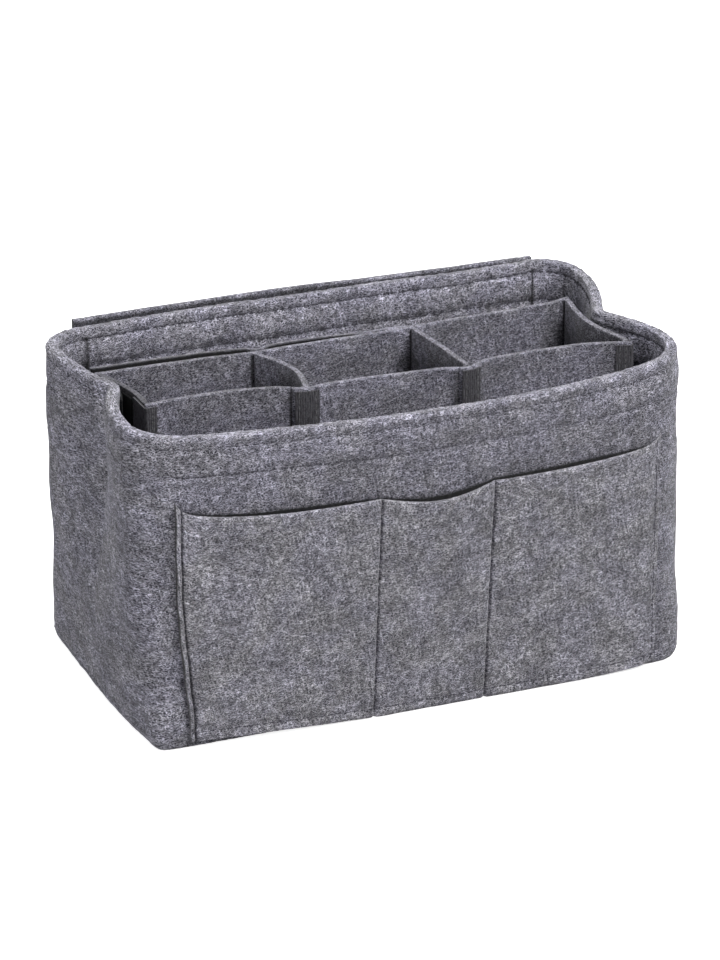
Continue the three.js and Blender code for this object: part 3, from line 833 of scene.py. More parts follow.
# Unevenness of the walls, the rim, the hem and the floor: seed, shortest and longest wave, height
WALL_SAG = Ripple(11, 40 * MM, 160 * MM, 0.9 * MM)
WALL_LUMPS = Ripple(12, 9 * MM, 30 * MM, 0.12 * MM)
WALL_FUZZ = Ripple(16, 2.8 * MM, 6 * MM, 0.1 * MM, waves=15)
RIM_WAVE = Ripple(13, 30 * MM, 120 * MM, 0.35 * MM)
RIM_FUZZ = Ripple(17, 2.8 * MM, 8 * MM, 0.16 * MM, waves=15)
HEM_PUCKERS = Ripple(15, 5 * MM, 14 * MM, 1.0)
FLOOR_SWELL = Ripple(21, 25 * MM, 90 * MM, 0.35 * MM)
SAG_OVER_FLOOR = 30 * MM
SAG_UNDER_RIM = 20 * MM

# Where the rim stands higher: at the front right corner and along the right side
HIGH_CORNER = (152 * MM, -52 * MM)
HIGH_CORNER_LIFT = 2.0 * MM
HIGH_CORNER_REACH = 26 * MM
RIGHT_LIFT = 1.2 * MM
RIGHT_LIFT_START = 100 * MM
RIGHT_LIFT_LENGTH = 40 * MM
LIFT_DEPTH = 30 * MM
LIFT_LENGTH = 25 * MM

# The crease of the left fold, tipped in over the divider: how far, how far behind the fold, its
# half width, and how deep below the rim it starts
TIP_IN = 2.6 * MM
TIP_BEHIND = 1 * MM
TIP_WIDTH = 13 * MM
TIP_DEPTH = 18 * MM
TIP_LENGTH = 15 * MM

# The unstitched stretch to each side of a fold
UNSTITCHED = 13 * MM
UNSTITCHED_FADE = 2 * MM
FLAT_MARGIN = 0.5 * MM
FACE_MARGIN = 1 * MM


class Tub:
    """The outline, walls and faces of the tub, worked out from its sizes"""

    def __init__(self):
        self.s = settings().tub
        self.half_width = self.s.width / 2
        self.half_depth = self.s.depth / 2
        self.fold_y = -self.s.fold_forward

    def place(self, x, y, z):
        """Where a point of the base outline has moved to at a height"""
        s = self.s
        up = z / s.height
        bow = 1 - (x / self.half_width) ** 2
        front = s.front_lean - s.front_bow * bow
        back = s.back_lean + s.back_bow * bow
        reach = np.where(y < self.fold_y, s.reach_front, s.reach_back)
        share = np.clip(1 - np.abs(y - self.fold_y) / reach, 0, 1) ** FOLD_SHARPNESS
        fold = np.where(x < 0, s.left_fold, -s.right_fold) * share
        fade = smooth((z - FOLD_START) / (FOLD_FULL - FOLD_START))
        across = (y + self.half_depth) / s.depth
        return (x * (1 + s.flare * up / self.half_width) + fold * fade,
                y + up * (front + (back - front) * across))

    @staticmethod
    def tuck(z):
        """How far the rounded bottom edge is drawn in under the wall"""
        share = 1 - np.clip(z / TUCK_HEIGHT, 0, 1)
        return TUCK_DEPTH * (1 - np.sqrt(1 - share ** 2))

    def squared(self, x, y, z):
        """The base outline with its upright corners drawn out towards a square near the floor"""
        r = self.s.corner
        over_x = np.clip((np.abs(x) - self.half_width + r) / r, 0, 1)
        over_y = np.clip((np.abs(y) - self.half_depth + r) / r, 0, 1)
        most = np.where(x < 0, *FLOOR_SQUARENESS)
        power = 2 + (most - 2) * (1 - smooth(z / SQUARENESS_END))
        reach = (over_x ** power + over_y ** power) ** (1 / power)
        swell = np.where((over_x > 0) & (over_y > 0), 1 / np.maximum(reach, TINY), 1) - 1
        return x + np.sign(x) * r * over_x * swell, y + np.sign(y) * r * over_y * swell

    def belly(self, x, y, z):
        """How far the sides swell out along X over a straight wall"""
        up = np.clip(z / self.s.height, 0, 1)
        ahead = np.clip(-y / self.half_depth, 0, 1)
        low = 1 - smooth((z - BELLY_LOSS_START) / BELLY_LOSS_LENGTH)
        left = np.interp(up, BELLY_HEIGHTS, BELLY_LEFT) * (1 - BELLY_FRONT_LOSS * low * ahead ** 2)
        right = np.interp(up, BELLY_HEIGHTS, BELLY_RIGHT)
        share = np.clip(np.abs(x) / self.half_width, 0, 1) ** BELLY_POWER
        return np.where(x < 0, -left, right) * share

    def outline(self, step=OUTLINE_STEP):
        """The base outline, counterclockwise from the fold in the left side"""
        r = self.s.corner
        across = self.half_width - r
        deep = self.half_depth - r
        points = [(-self.half_width, self.fold_y), (-self.half_width, -deep)]
        for middle_x, middle_y, start in ((-across, -deep, 2), (across, -deep, 3),
                                          (across, deep, 0), (-across, deep, 1)):
            for n in range(1, CORNER_STEPS + 1):
                angle = TAU / 4 * (start + n / CORNER_STEPS)
                points.append((middle_x + r * math.cos(angle), middle_y + r * math.sin(angle)))
        points.append((-self.half_width, self.fold_y))
        return resample(np.array(points), step)[:-1]

    def rows(self, outline, z, depth):
        """Points of the wall: z and depth per row, or per column and row. Depth is inward."""
        x = outline[:, :1]
        y = outline[:, 1:]
        z = np.broadcast_to(z, (len(outline), np.shape(z)[-1]))
        px, py = self.place(*self.squared(x, y, z), z)
        px = px + self.belly(x, y, z)
        tx = np.roll(px, -1, axis=0) - np.roll(px, 1, axis=0)
        ty = np.roll(py, -1, axis=0) - np.roll(py, 1, axis=0)
        length = np.hypot(tx, ty)
        inward = depth + self.tuck(z)
        return np.stack([px - ty / length * inward, py + tx / length * inward, z], axis=-1)

    def row_and_out(self, outline, z, depth):
        """One row of points round the wall, and the outward vectors there"""
        row, deeper = (self.rows(outline, z, inward)[:, 0] for inward in (depth, depth + PROBE))
        return row, (row - deeper) / PROBE

    def face_y(self, x, z, side):
        """The outer face of the front, side -1, or of the back, side 1"""
        base = x / (1 + self.s.flare * z / (self.s.height * self.half_width))
        y = self.place(base, np.full_like(base, side * self.half_depth), z)[1]
        return y - side * PANEL_TUCK_SHARE * self.tuck(z)

    def unevenness(self, across, z):
        """How far the walls wander in and out: across is the distance round the outline"""
        below = self.s.height - z
        sag = WALL_SAG(across, z) * smooth(z / SAG_OVER_FLOOR) * smooth(below / SAG_UNDER_RIM)
        return sag + WALL_LUMPS(across, z) + WALL_FUZZ(across, z)

    def rim_wave(self, across, outline):
        """How far the rim wanders up and down, a little higher at the front right corner"""
        away = np.hypot(outline[:, :1] - HIGH_CORNER[0], outline[:, 1:] - HIGH_CORNER[1])
        corner = HIGH_CORNER_LIFT * bell(away, HIGH_CORNER_REACH)
        slope = RIGHT_LIFT * smooth((outline[:, :1] - RIGHT_LIFT_START) / RIGHT_LIFT_LENGTH)
        return RIM_WAVE(across, 0) + corner + slope + RIM_FUZZ(across, 0)

    def tipped_fold(self, outline, z):
        """How far the left fold's crease tips in over the divider at the rim, along X"""
        crease = bell(outline[:, 1:] - self.fold_y - TIP_BEHIND, TIP_WIDTH)
        on_left = outline[:, :1] < -self.half_width + FACE_MARGIN
        return TIP_IN * crease * on_left * smooth((z - self.s.height + TIP_DEPTH) / TIP_LENGTH)

    def outside_fold(self, outline):
        """How far each column is past the unstitched stretch around a fold: 0 in it, 1 outside"""
        at_side = np.abs(outline[:, 0]) > self.half_width - FLAT_MARGIN
        off = np.abs(outline[:, 1] - self.fold_y)
        return np.where(at_side, smooth((off - UNSTITCHED) / UNSTITCHED_FADE), 1)


def stitch_dimples(line, pitch):
    """Along a sewn line, how tight the thread pulls: 1 at the needle holes"""
    lengths = along(line)
    spacing = lengths[-1] / max(1, math.floor(lengths[-1] / pitch + 0.5))
    return 1 - DIMPLE_SWING - DIMPLE_SWING * np.cos(TAU * lengths / spacing)


# Shades over the pocket mouths: depth and reach of a fine line and of a soft shade, and where
# they fade at the strip's ends and behind it
MOUTH_SHADES = ((0.7, 0.6 * MM), (0.34, 7 * MM))
MOUTH_MARGIN = 2 * MM
MOUTH_FADE = 4 * MM
MOUTH_BEHIND = 12 * MM

# Shades along the rows of stitches: depth and width inside the rim and on the outside
INNER_RIM_ROW = (0.85, 0.75 * MM)
INNER_HEM_ROW = (0.75, 2.1 * MM)
OUTER_HEM_ROW = (0.6, 0.6 * MM)
PUCKER_SHARE = 0.3
DASH_SHARE = 0.5

# Along X, where the outer row comes into sight on the left, and where most of it is lost
ROW_SEEN = (-150 * MM, 25 * MM)
ROW_LOST = (-20 * MM, 60 * MM)
ROW_LOST_SHARE = 0.7

# Upright creases in the hem inside the back: place along X, half width and depth of shade
HEM_CREASES = ((-0.1270, 0.0012, 0.9), (0.132, 0.0010, 1.0), (0.1514, 0.0006, 0.75))
CREASE_DROP = 1 * MM
CREASE_FADE = 4 * MM
BACK_MARGIN = 20 * MM

# Painted highlights: along the top of the rim, more so in front, on the puffed hem inside the back,
# and on the soft ridge ahead of the left fold
RIM_HIGHLIGHT = 0.2
RIM_HIGHLIGHT_IN_FRONT = 0.18
RIM_HIGHLIGHT_DEPTH = 3 * MM
RIM_HIGHLIGHT_FADE = 2 * MM
FRONT_REACH = 60 * MM
PUFFED_HIGHLIGHT = 0.35
PUFFED_DEPTH = 26 * MM
PUFFED_FADE = 4 * MM
RIDGE_HIGHLIGHT = 0.22
RIDGE_AHEAD = 17 * MM
RIDGE_WIDTH = 7 * MM
RIDGE_UNDER_RIM = 30 * MM
RIDGE_OVER_FLOOR = 60 * MM


def mouth_shade(x, z):
    """The shade on the front wall over the pocket mouths"""
    pockets = FrontPockets()
    over = z - pockets.mouth(np.clip(x, -pockets.half, pockets.half))
    inside = smooth((pockets.half - MOUTH_MARGIN - np.abs(x)) / MOUTH_FADE)
    depth = sum(strength * fading(over, reach) for strength, reach in MOUTH_SHADES)
    return depth * inside * smooth((over + MOUTH_BEHIND) / MOUTH_FADE)


def inner_row_shade(across, z, height):
    """The shade in the rows of stitches inside the rim, puckered along them"""
    thread = settings().thread
    puckers = 1 - PUCKER_SHARE + PUCKER_SHARE * np.clip(HEM_PUCKERS(across, 0), -1, 1)
    rim = INNER_RIM_ROW[0] * bell(z - height + thread.rim_drop, INNER_RIM_ROW[1])
    hem = INNER_HEM_ROW[0] * bell(z - height + thread.hem_drop, INNER_HEM_ROW[1])
    return puckers * (rim + hem)


def outer_row_shade(outline, x, z, height):
    """The dashed shade of the hem's row on the front, lost towards the right"""
    thread = settings().thread
    strength, width = OUTER_HEM_ROW
    dashes = 1 - DASH_SHARE + DASH_SHARE * stitch_dimples(outline, thread.pitch)[:, None]
    seen = smooth((x - ROW_SEEN[0]) / ROW_SEEN[1])
    kept = 1 - ROW_LOST_SHARE * smooth((x - ROW_LOST[0]) / ROW_LOST[1])
    return strength * bell(z - height + thread.hem_drop, width) * dashes * seen * kept


def wall_marks(tub, outline, across, depth, z, inner_side):
    """Where the walls have painted shade: over the pocket mouths, in the hem's rows and creases
    inside;
    and where they have painted highlights, along the top of the rim, on the puffed hem and on the
    ridge ahead of the left fold"""
    h = tub.s.height
    x = np.broadcast_to(outline[:, :1], z.shape)
    y = outline[:, 1:]
    outer_face = depth < tub.s.felt / 2
    front = (y < -tub.half_depth + FACE_MARGIN) & outer_face
    left = (x < -tub.half_width + FACE_MARGIN) & outer_face
    inside_back = inner_side * (y > tub.half_depth - BACK_MARGIN)
    marks = -1.0 * front * (mouth_shade(x, z) + outer_row_shade(outline, x, z, h))
    creases = sum(strength * bell(x - place, width) for place, width, strength in HEM_CREASES)
    creases = creases * inside_back * smooth((h - CREASE_DROP - z) / CREASE_FADE)
    shaded = np.minimum(creases + inner_side * inner_row_shade(across, z, h), 1)
    # Painted highlights along the top of the rim, on the puffed hem inside and on the ridge by the
    # left fold
    top = smooth((z - h + RIM_HIGHLIGHT_DEPTH) / RIM_HIGHLIGHT_FADE)
    top = top * (RIM_HIGHLIGHT + RIM_HIGHLIGHT_IN_FRONT * smooth(-y / FRONT_REACH))
    puffed = PUFFED_HIGHLIGHT * inside_back * smooth((z - h + PUFFED_DEPTH) / PUFFED_FADE)
    ridge = RIDGE_HIGHLIGHT * left * bell(y - tub.fold_y + RIDGE_AHEAD, RIDGE_WIDTH)
    ridge = ridge * smooth((h - z) / RIDGE_UNDER_RIM) * smooth(z / RIDGE_OVER_FLOOR)
    return np.clip((marks + np.maximum(puffed, top)) * (1 - shaded) + ridge - shaded, -1, 1)


# The wall felt in section: how far its fold stands over the rim, how far the hem reaches past
# its depth, how the corners are rounded, and how deep the relief of a face goes
RIM_CROWN = 0.5 * MM
HEM_REACH = 3 * MM
FOOT_ROUND = 1.1 * MM
RIM_OUTER_ROUND = 2.3 * MM
RIM_INNER_ROUND = 1.3 * MM
HEM_INNER_ROUND = 0.7 * MM
HEM_UNDER_ROUND = 0.4 * MM
FACE_SHARE = 0.6

# How the hem swells between its rows, and how wide the rows pull it in; its inside moves more
ROW_WIDTH = 1.5 * MM
HEM_PLUMP = 0.35 * MM
HEM_PLUMP_FADE = 6 * MM
INNER_PULL = 2

# How much the fibres are drawn out round the sides, and how far inside them that starts
SIDE_STRETCH = 0.9
SIDE_STRETCH_REACH = 12 * MM


def build_tub_walls():
    """The wall felt with its turned in hem"""
    tub, thread = Tub(), settings().thread
    outline = tub.outline()
    t, h = tub.s.felt, tub.s.height
    rim_row, hem_row = h - thread.rim_drop, h - thread.hem_drop
    mouths = h - settings().pockets.drop
    top = h + RIM_CROWN
    low_edge = h - tub.s.hem - HEM_REACH
    fine_rows = (rim_row, hem_row, h - tub.s.hem, mouths, mouths + 2 * MM, mouths - 2 * MM, 0)
    loop = section([(0, 0, FOOT_ROUND), (0, top, RIM_OUTER_ROUND), (2 * t, top, RIM_INNER_ROUND),
                    (2 * t, low_edge, HEM_INNER_ROUND), (t, low_edge, HEM_UNDER_ROUND),
                    (t, 0, FOOT_ROUND)], fine_rows, fine=0.7 * MM, coarse=7 * MM, arc_steps=5)
    depth, z = loop[:, 0], loop[:, 1]
    outer_side = np.clip(1 - depth / (FACE_SHARE * t), 0, 1)
    inner_side = np.clip((depth - (2 - FACE_SHARE) * t) / (FACE_SHARE * t), 0, 1)
    across = round_line(outline)
    tight = tub.outside_fold(outline)[:, None]
    dimple = stitch_dimples(outline, thread.pitch)[:, None]
    rows = (bell(z - rim_row, ROW_WIDTH) + bell(z - hem_row, ROW_WIDTH)) * tight
    plump = smooth((z - hem_row) / HEM_PLUMP_FADE) * smooth((rim_row - z) / HEM_PLUMP_FADE)
    sewn = thread.pull * rows * dimple - HEM_PLUMP * plump
    change = sewn * (outer_side - INNER_PULL * inner_side) + tub.unevenness(across, z)
    lift = tub.rim_wave(across, outline) * smooth((z - h + LIFT_DEPTH) / LIFT_LENGTH)
    grid = tub.rows(outline, z + lift, depth + change)
    grid[..., 0] += tub.tipped_fold(outline, z)
    past_corner = np.abs(outline[:, 0]) - tub.half_width + SIDE_STRETCH_REACH
    marks = wall_marks(tub, outline, across, depth, np.broadcast_to(z, grid.shape[:2]), inner_side)
    walls = loft("tub_walls", grid, "heather_of_walls", closed=True, marks=marks,
                 stretch=1 + SIDE_STRETCH * smooth(past_corner / SIDE_STRETCH_REACH))
    finish_piece(walls, "tub", "tub_felt", "front_wall_wrap", "back_wall_wrap")


# The floor: how high its edge is turned up, how far the bend reaches in, and its rings of faces
TURN_UP = 12 * MM
TURN_REACH = 6 * MM
TURN_ROUND = 1.8 * MM
EDGE_ROUND = 0.8 * MM
TURN_TOP_ROUND = 0.7 * MM
UNDER_INSET = 1 * MM
FLOOR_RINGS = 26
FLOOR_MAP_SLANT = 0.7


def build_tub_base():
    """The felt floor with its turned up edge"""
    tub = Tub()
    outline = tub.outline(3 * MM)
    t = tub.s.felt
    edge = t + SEAT_GAP
    bend = edge + TURN_REACH
    loop = section([(edge, 0, EDGE_ROUND), (edge, TURN_UP, TURN_TOP_ROUND),
                    (edge + t, TURN_UP, TURN_TOP_ROUND), (edge + t, t, TURN_ROUND),
                    (bend, t, 0), (bend, 0, 0)], fine=1 * MM, coarse=3 * MM)
    loop = loop[:int(np.argmax(loop[:, 0] > bend - TINY)) + 1]
    rim = tub.rows(outline, loop[:, 1], loop[:, 0])
    shares = np.linspace(1, 0, FLOOR_RINGS)[1:-1]
    floor_rings = [rim[:, -1] * (share, share, 1) for share in shares]
    for ring in floor_rings:
        ring[:, 2] += FLOOR_SWELL(ring[:, 0], ring[:, 1])
    under = tub.rows(outline, np.array([0.0]), np.array([edge + UNDER_INSET]))[:, 0]
    under_rings = [under * (share, share, 1) for share in shares[::-1]]
    grid = np.stack(under_rings + [under] + list(rim.transpose(1, 0, 2)) + floor_rings, axis=1)
    columns, rows = grid.shape[:2]
    points = np.vstack([grid.reshape(-1, 3), [(0, 0, 0)], [(0, 0, t)]])
    corners = grid_faces(columns, rows, True)
    corners = corners[corners[:, 0, 1] < rows - 1]
    faces = ((corners[..., 0] % columns) * rows + corners[..., 1]).tolist()
    for i in range(columns):
        j = (i + 1) % columns
        faces.append([j * rows, i * rows, columns * rows])
        faces.append([i * rows + rows - 1, j * rows + rows - 1, columns * rows + 1])
    flat = np.concatenate([face for face in faces])
    places = points[flat][:, :2] + points[flat][:, 2:] * FLOOR_MAP_SLANT
    base = mesh_piece("tub_base", points, faces, places, "heather_of_walls")
    finish_piece(base, "tub", "tub_felt", "base_panel")


def wall_routes(drop):
    """Stitch routes round both faces of the hem at a distance below the rim"""
    tub = Tub()
    outline = tub.outline()
    across = round_line(outline)
    z = np.array([tub.s.height - drop])
    soft = tub.unevenness(across, z)
    z = z + tub.rim_wave(across, outline) * smooth((LIFT_DEPTH - drop) / LIFT_LENGTH)
    seat = settings().thread.pull * SEAT_SHARE
    changes = np.flatnonzero(np.diff((tub.outside_fold(outline) > 0.5).astype(int))) + 1
    routes = []
    for depth, facing in ((seat, 1), (2 * tub.s.felt - seat, -1)):
        row, out = tub.row_and_out(outline, z, depth + soft)
        for start, end in zip(changes[::2], changes[1::2]):
            routes.append((row[start:end], out[start:end] * facing))
    return routes


def build_rim_stitching():
    """Two rows of stitches round the rim, one under the fold and one along the hem's edge"""
    thread = settings().thread
    for seed, name, drop in ((1, "rim", thread.rim_drop), (2, "hem", thread.hem_drop)):
        row = stitching(name + "_stitching", wall_routes(drop), seed)
        finish_piece(row, "tub", "thread", f"front_{name}_thread", f"back_{name}_thread")


# The outside pockets

# Unevenness of the strip's face, of the line along its left seam and of its left end, and of the
# back panel's face
STRIP_SWELL = Ripple(31, 12 * MM, 60 * MM, 0.3 * MM)
STRIP_SEAM_WANDER = Ripple(33, 10 * MM, 40 * MM, 0.25 * MM)
STRIP_END_WANDER = Ripple(34, 9 * MM, 30 * MM, 0.25 * MM)
BACK_SWELL = Ripple(32, 15 * MM, 70 * MM, 0.3 * MM)

# How far the outer seams of the strip lie inside its ends, and how wide a seam's groove is
LEFT_ALLOWANCE = 2.9 * MM
RIGHT_ALLOWANCE = 3.5 * MM
GROOVE_WIDTH = 0.9 * MM

# How the mouths climb to the strip's ends, and how fast the mouths' gape grows towards them
LEFT_CLIMB_POWER = 5
LEFT_TIP_REACH = 3 * MM
RIGHT_TIP_REACH = 4.5 * MM
GAPE_POWER = 2

# How the strip's left end leans with the tub's corner: in at the floor, out above
LEFT_FOOT_IN = 2.3 * MM
LEFT_LEAN = 6.0 * MM
LEFT_LEAN_HEIGHT = 95 * MM
END_WANDER_POWER = 20

# The strip's lower edge: its height, and how much higher it is sewn on at its two ends
STRIP_FOOT = 0.8 * MM
LEFT_FOOT_RISE = 5.2 * MM
RIGHT_FOOT_RISE = 3.5 * MM
RIGHT_FOOT_POWER = 5


class FrontPockets:
    """The places of the front pocket strip's seams, mouths and faces"""

    def __init__(self):
        self.s = settings().pockets
        self.tub = Tub()
        half = self.tub.half_width - self.s.inset
        self.half = half
        self.seams = np.array((-half + LEFT_ALLOWANCE, -self.s.left_seam, self.s.right_seam,
                               half - RIGHT_ALLOWANCE))

    def to_end(self, side, x):
        """0 at the middle seam on a side, and 1 at the strip's end there"""
        seam = self.s.left_seam if side < 0 else self.s.right_seam
        return np.clip((side * x - seam) / (self.half - seam), 0, 1)

    def middle_share(self, x):
        """0 on the seams and 1 in the middle of a pocket"""
        share = np.zeros_like(x)
        for left, right in zip(self.seams[:-1], self.seams[1:]):
            inside = (x > left) & (x < right)
            share = np.where(inside, np.sin(math.pi * (x - left) / (right - left)), share)
        return share

    def mouth(self, x):
        """Height of the strip's upper edge"""
        s = self.s
        tips = (s.left_tip * fading(self.half + x, LEFT_TIP_REACH)
                + s.right_tip * fading(self.half - x, RIGHT_TIP_REACH))
        in_middle = (x > -s.left_seam) & (x < s.right_seam)
        climb = s.left_rise * self.to_end(-1, x) ** LEFT_CLIMB_POWER
        sag = s.sag * in_middle * self.middle_share(x)
        return self.tub.s.height - s.drop + climb + tips - sag

    def stand_off(self, x, z):
        """How far the strip's inner face stands off the wall"""
        s = self.s
        gape = np.where(x < s.right_seam, s.gape, s.right_gape)
        gape = np.where(x < -s.left_seam, s.left_gape, gape)
        share = np.clip(z / self.mouth(x), 0, 1)
        return SEAT_GAP + gape * self.middle_share(x) * share ** GAPE_POWER

    def seam_pull(self, x):
        """How deep the seams draw the strip in: narrow grooves, the left one deepest"""
        return sum(depth * bell(x - seam, GROOVE_WIDTH)
                   for seam, depth in zip(self.seams, SEAM_DEPTHS))

    def spread(self, x, z):
        """Where a place along the strip has moved to along X: its left end leans with the corner"""
        share = self.to_end(-1, x)
        wander = STRIP_END_WANDER(z, 0) * share ** END_WANDER_POWER
        lean = LEFT_FOOT_IN - LEFT_LEAN * smooth(z / LEFT_LEAN_HEIGHT)
        return x + wander + share ** 2 * lean

    def bottom(self, x):
        """Height of the strip's lower edge: its ends are sewn on a little higher"""
        right = RIGHT_FOOT_RISE * self.to_end(1, x) ** RIGHT_FOOT_POWER
        return STRIP_FOOT + LEFT_FOOT_RISE * self.to_end(-1, x) + right

    def outer(self, x, z, sunk=0.0):
        """A point of the strip's outer face"""
        away = self.stand_off(x, z) + self.tub.s.felt + STRIP_SWELL(x, z) - sunk
        return np.stack([self.spread(x, z), self.tub.face_y(x, z, -1) - away, z], axis=-1)


# The strip's felt: the last stretch below its upper edge keeps its height, and its corners and
# its ends are rounded; the right end lies flat
LIP = 1 * MM
LIP_SHARE = 0.99
LIP_ROUND = 0.7 * MM
STRIP_OUTER_ROUND = 0.8 * MM
STRIP_INNER_ROUND = 0.5 * MM
END_ROUND = 1.2 * MM
FLAT_END = 2.3 * MM
FLAT_END_REACH = 10 * MM
FINE_COLUMN = 0.35 * MM
WIDE_COLUMN = 3 * MM
BASE_ROW_PULL = 0.5 * MM
BASE_ROW_WIDTH = 2 * MM

# Tones on the strip: its lip paler, partly the cut edge's own tone and partly painted light, a
# painted highlight on its left margin, and painted shade inside it, along its left seam and on its
# cut left end
LIP_CUT_AND_LIGHT = 0.15
INNER_SHADE_TOP = 0.8 * MM
INNER_SHADE_END = 3 * MM
SEAM_LINE = (0.5, 0.55 * MM)
MARGIN_HIGHLIGHT = 0.12
END_SHADE = 0.55
END_SHADE_GAIN = 0.35
END_SHADE_HEIGHT = 60 * MM
END_COLUMN = 0.1 * MM


def strip_marks(pockets, column, z, a, edge, tops, near_top):
    """Where the pocket strip has painted light and where it has painted shade. a is the place
    through the felt, from minus its thickness outside to 0 inside, and edge is the distance from
    the nearer end"""
    t = pockets.tub.s.felt
    outer_share = np.clip(-a / t, 0, 1)
    # The lip paler: partly the cut edge's own tone, partly painted light from above
    marks = np.where(near_top, LIP_CUT_AND_LIGHT, 0) * np.ones_like(z)
    # Painted shade inside the strip, along its left seam and on its left end; a painted highlight
    # on its left margin
    inner = np.clip(1 + a / (0.3 * t), 0, 1) * smooth((edge - INNER_SHADE_END) / (2 * MM))
    marks = marks - inner * smooth((tops - INNER_SHADE_TOP - z) / (1 * MM))
    off_seam = column - pockets.seams[0] - STRIP_SEAM_WANDER(z, 0)
    marks = marks - SEAM_LINE[0] * outer_share * bell(off_seam, SEAM_LINE[1])
    marks = marks + MARGIN_HIGHLIGHT * outer_share * (column < pockets.seams[0] - 1 * MM)
    end_shade = END_SHADE + END_SHADE_GAIN * smooth(z / END_SHADE_HEIGHT)
    return np.where(column < -pockets.half + END_COLUMN, -end_shade, marks)


def build_front_pockets():
    """The strip of three slip pockets"""
    pockets, thread = FrontPockets(), settings().thread
    tub, t = pockets.tub, pockets.tub.s.felt
    x = march(-pockets.half, pockets.half, [*pockets.seams, -pockets.half, pockets.half],
              FINE_COLUMN, WIDE_COLUMN)
    loop = section([(-t, 0, STRIP_OUTER_ROUND), (-t, 1, LIP_ROUND), (0, 1, LIP_ROUND),
                    (0, 0, STRIP_INNER_ROUND)], (), fine=0.01, coarse=0.02)
    tops, bottoms = pockets.mouth(x)[:, None], pockets.bottom(x)[:, None]
    a, z_share = loop[:, 0], loop[:, 1]
    near_top = z_share > LIP_SHARE
    rise = bottoms + z_share * (tops - LIP - bottoms) / LIP_SHARE
    z = np.where(near_top, tops - (1 - z_share), rise)
    column = np.broadcast_to(x[:, None], z.shape)
    outer_share = np.clip(-a / t, 0, 1)
    base_row = BASE_ROW_PULL * bell(z - thread.base_rise - bottoms, BASE_ROW_WIDTH)
    pull = (pockets.seam_pull(column) + base_row) * outer_share
    edge = np.minimum(column + pockets.half, pockets.half - column)
    round_off = END_ROUND * (1 - np.clip(edge / END_ROUND, 0, 1)) ** 2 * (outer_share - 0.5)
    near_right = smooth((column - pockets.half + FLAT_END_REACH) / FLAT_END_REACH)
    away = (pockets.stand_off(column, z) - a - pull + STRIP_SWELL(column, z) * outer_share
            - round_off - FLAT_END * outer_share * near_right)
    grid = np.stack([pockets.spread(column, z), tub.face_y(column, z, -1) - away, z], axis=-1)
    strip = loft("front_pockets", grid, "heather_of_pockets",
                 marks=strip_marks(pockets, column, z, a, edge, tops, near_top))
    finish_piece(strip, "tub", "pocket_felt", "front_pocket_panel")


# The back panel: its seams, its lower edge, its rounding, and how its left end is lifted
BACK_ALLOWANCE = 6 * MM
BACK_FOOT = 2 * MM
BACK_TOP_ROUND = 0.7 * MM
BACK_GROOVE = 0.9 * MM
BACK_GROOVE_WIDTH = 1.1 * MM
LEFT_LIFT_START = 45 * MM
LEFT_LIFT_LENGTH = 50 * MM

# Shades of the back panel: on its upper edge, on its inner face and on its cut left end
TOP_SHADE = 0.1
INNER_SHADE = 0.8
LEFT_END_SHADE = 0.85


def build_back_pocket():
    """The flat pocket panel on the back, a little higher than the rim"""
    tub, s = Tub(), settings().pockets
    row, t = settings().thread.base_rise, tub.s.felt
    half = tub.half_width - s.inset
    seams = (-half + BACK_ALLOWANCE, half - BACK_ALLOWANCE)
    x = march(half, -half, (half, -half) + seams, FINE_COLUMN, WIDE_COLUMN)
    top = tub.s.height + s.back_rise
    loop = section([(-t, BACK_FOOT, STRIP_OUTER_ROUND), (-t, top, STRIP_OUTER_ROUND),
                    (0, top, BACK_TOP_ROUND), (0, BACK_FOOT, STRIP_INNER_ROUND)],
                   (top, row), fine=0.8 * MM, coarse=5 * MM)
    a, z = loop[:, 0], np.broadcast_to(loop[:, 1], (len(x), len(loop)))
    column = np.broadcast_to(x[:, None], z.shape)
    pull = sum(BACK_GROOVE * bell(column - seam, BACK_GROOVE_WIDTH) for seam in seams)
    pull = pull + BASE_ROW_PULL * bell(z - row, BASE_ROW_WIDTH)
    away = SEAT_GAP - a + (BACK_SWELL(column, z) - pull) * np.clip(-a / t, 0, 1)
    lift = BACK_LEFT_LIFT * smooth((LEFT_LIFT_START - column) / LEFT_LIFT_LENGTH)
    height = z + lift * smooth((z - top + LIFT_DEPTH) / LIFT_LENGTH)
    grid = np.stack([column, tub.face_y(column, z, 1) + away, height], axis=-1)
    marks = -TOP_SHADE * smooth((z - top + 2 * MM) / (1 * MM))
    marks = marks - INNER_SHADE * (a > -0.2 * t) * smooth((top - 1 * MM - z) / (0.8 * MM))
    marks = np.where(column < -half + END_COLUMN, -LEFT_END_SHADE, marks)
    panel = loft("back_pocket", grid, "heather_of_walls", marks=marks)
    finish_piece(panel, "tub", "tub_felt", "back_pocket_panel")


# The pockets' stitches: how far above the base row the seams start, how many points a route has,
# and how deep the rows lie
SEAM_START = 3 * MM
SEAM_POINTS = 40
BASE_POINTS = 120
SEAM_SEAT = 0.1 * MM
BACK_SEAM_DEPTH = 0.7 * MM
FRONT_BASE_DEPTH = 0.4 * MM
BACK_BASE_DEPTH = 0.3 * MM
SIDE_BASE_DEPTH = 0.1 * MM
ROW_MARGIN = 3 * MM


def route(points, *way):
    """A stitch route whose stitches all face one way"""
    return points, np.broadcast_to(np.array(way, float), points.shape)


def front_seam_route(pockets, seam):
    """A route up a seam of the front strip"""
    low = settings().thread.base_rise + SEAM_START
    z = np.linspace(low, pockets.mouth(np.array([seam]))[0] - LIP, SEAM_POINTS)
    sunk = pockets.seam_pull(seam) - SEAM_SEAT
    return route(pockets.outer(np.full_like(z, seam), z, sunk=sunk), 0, -1, 0)


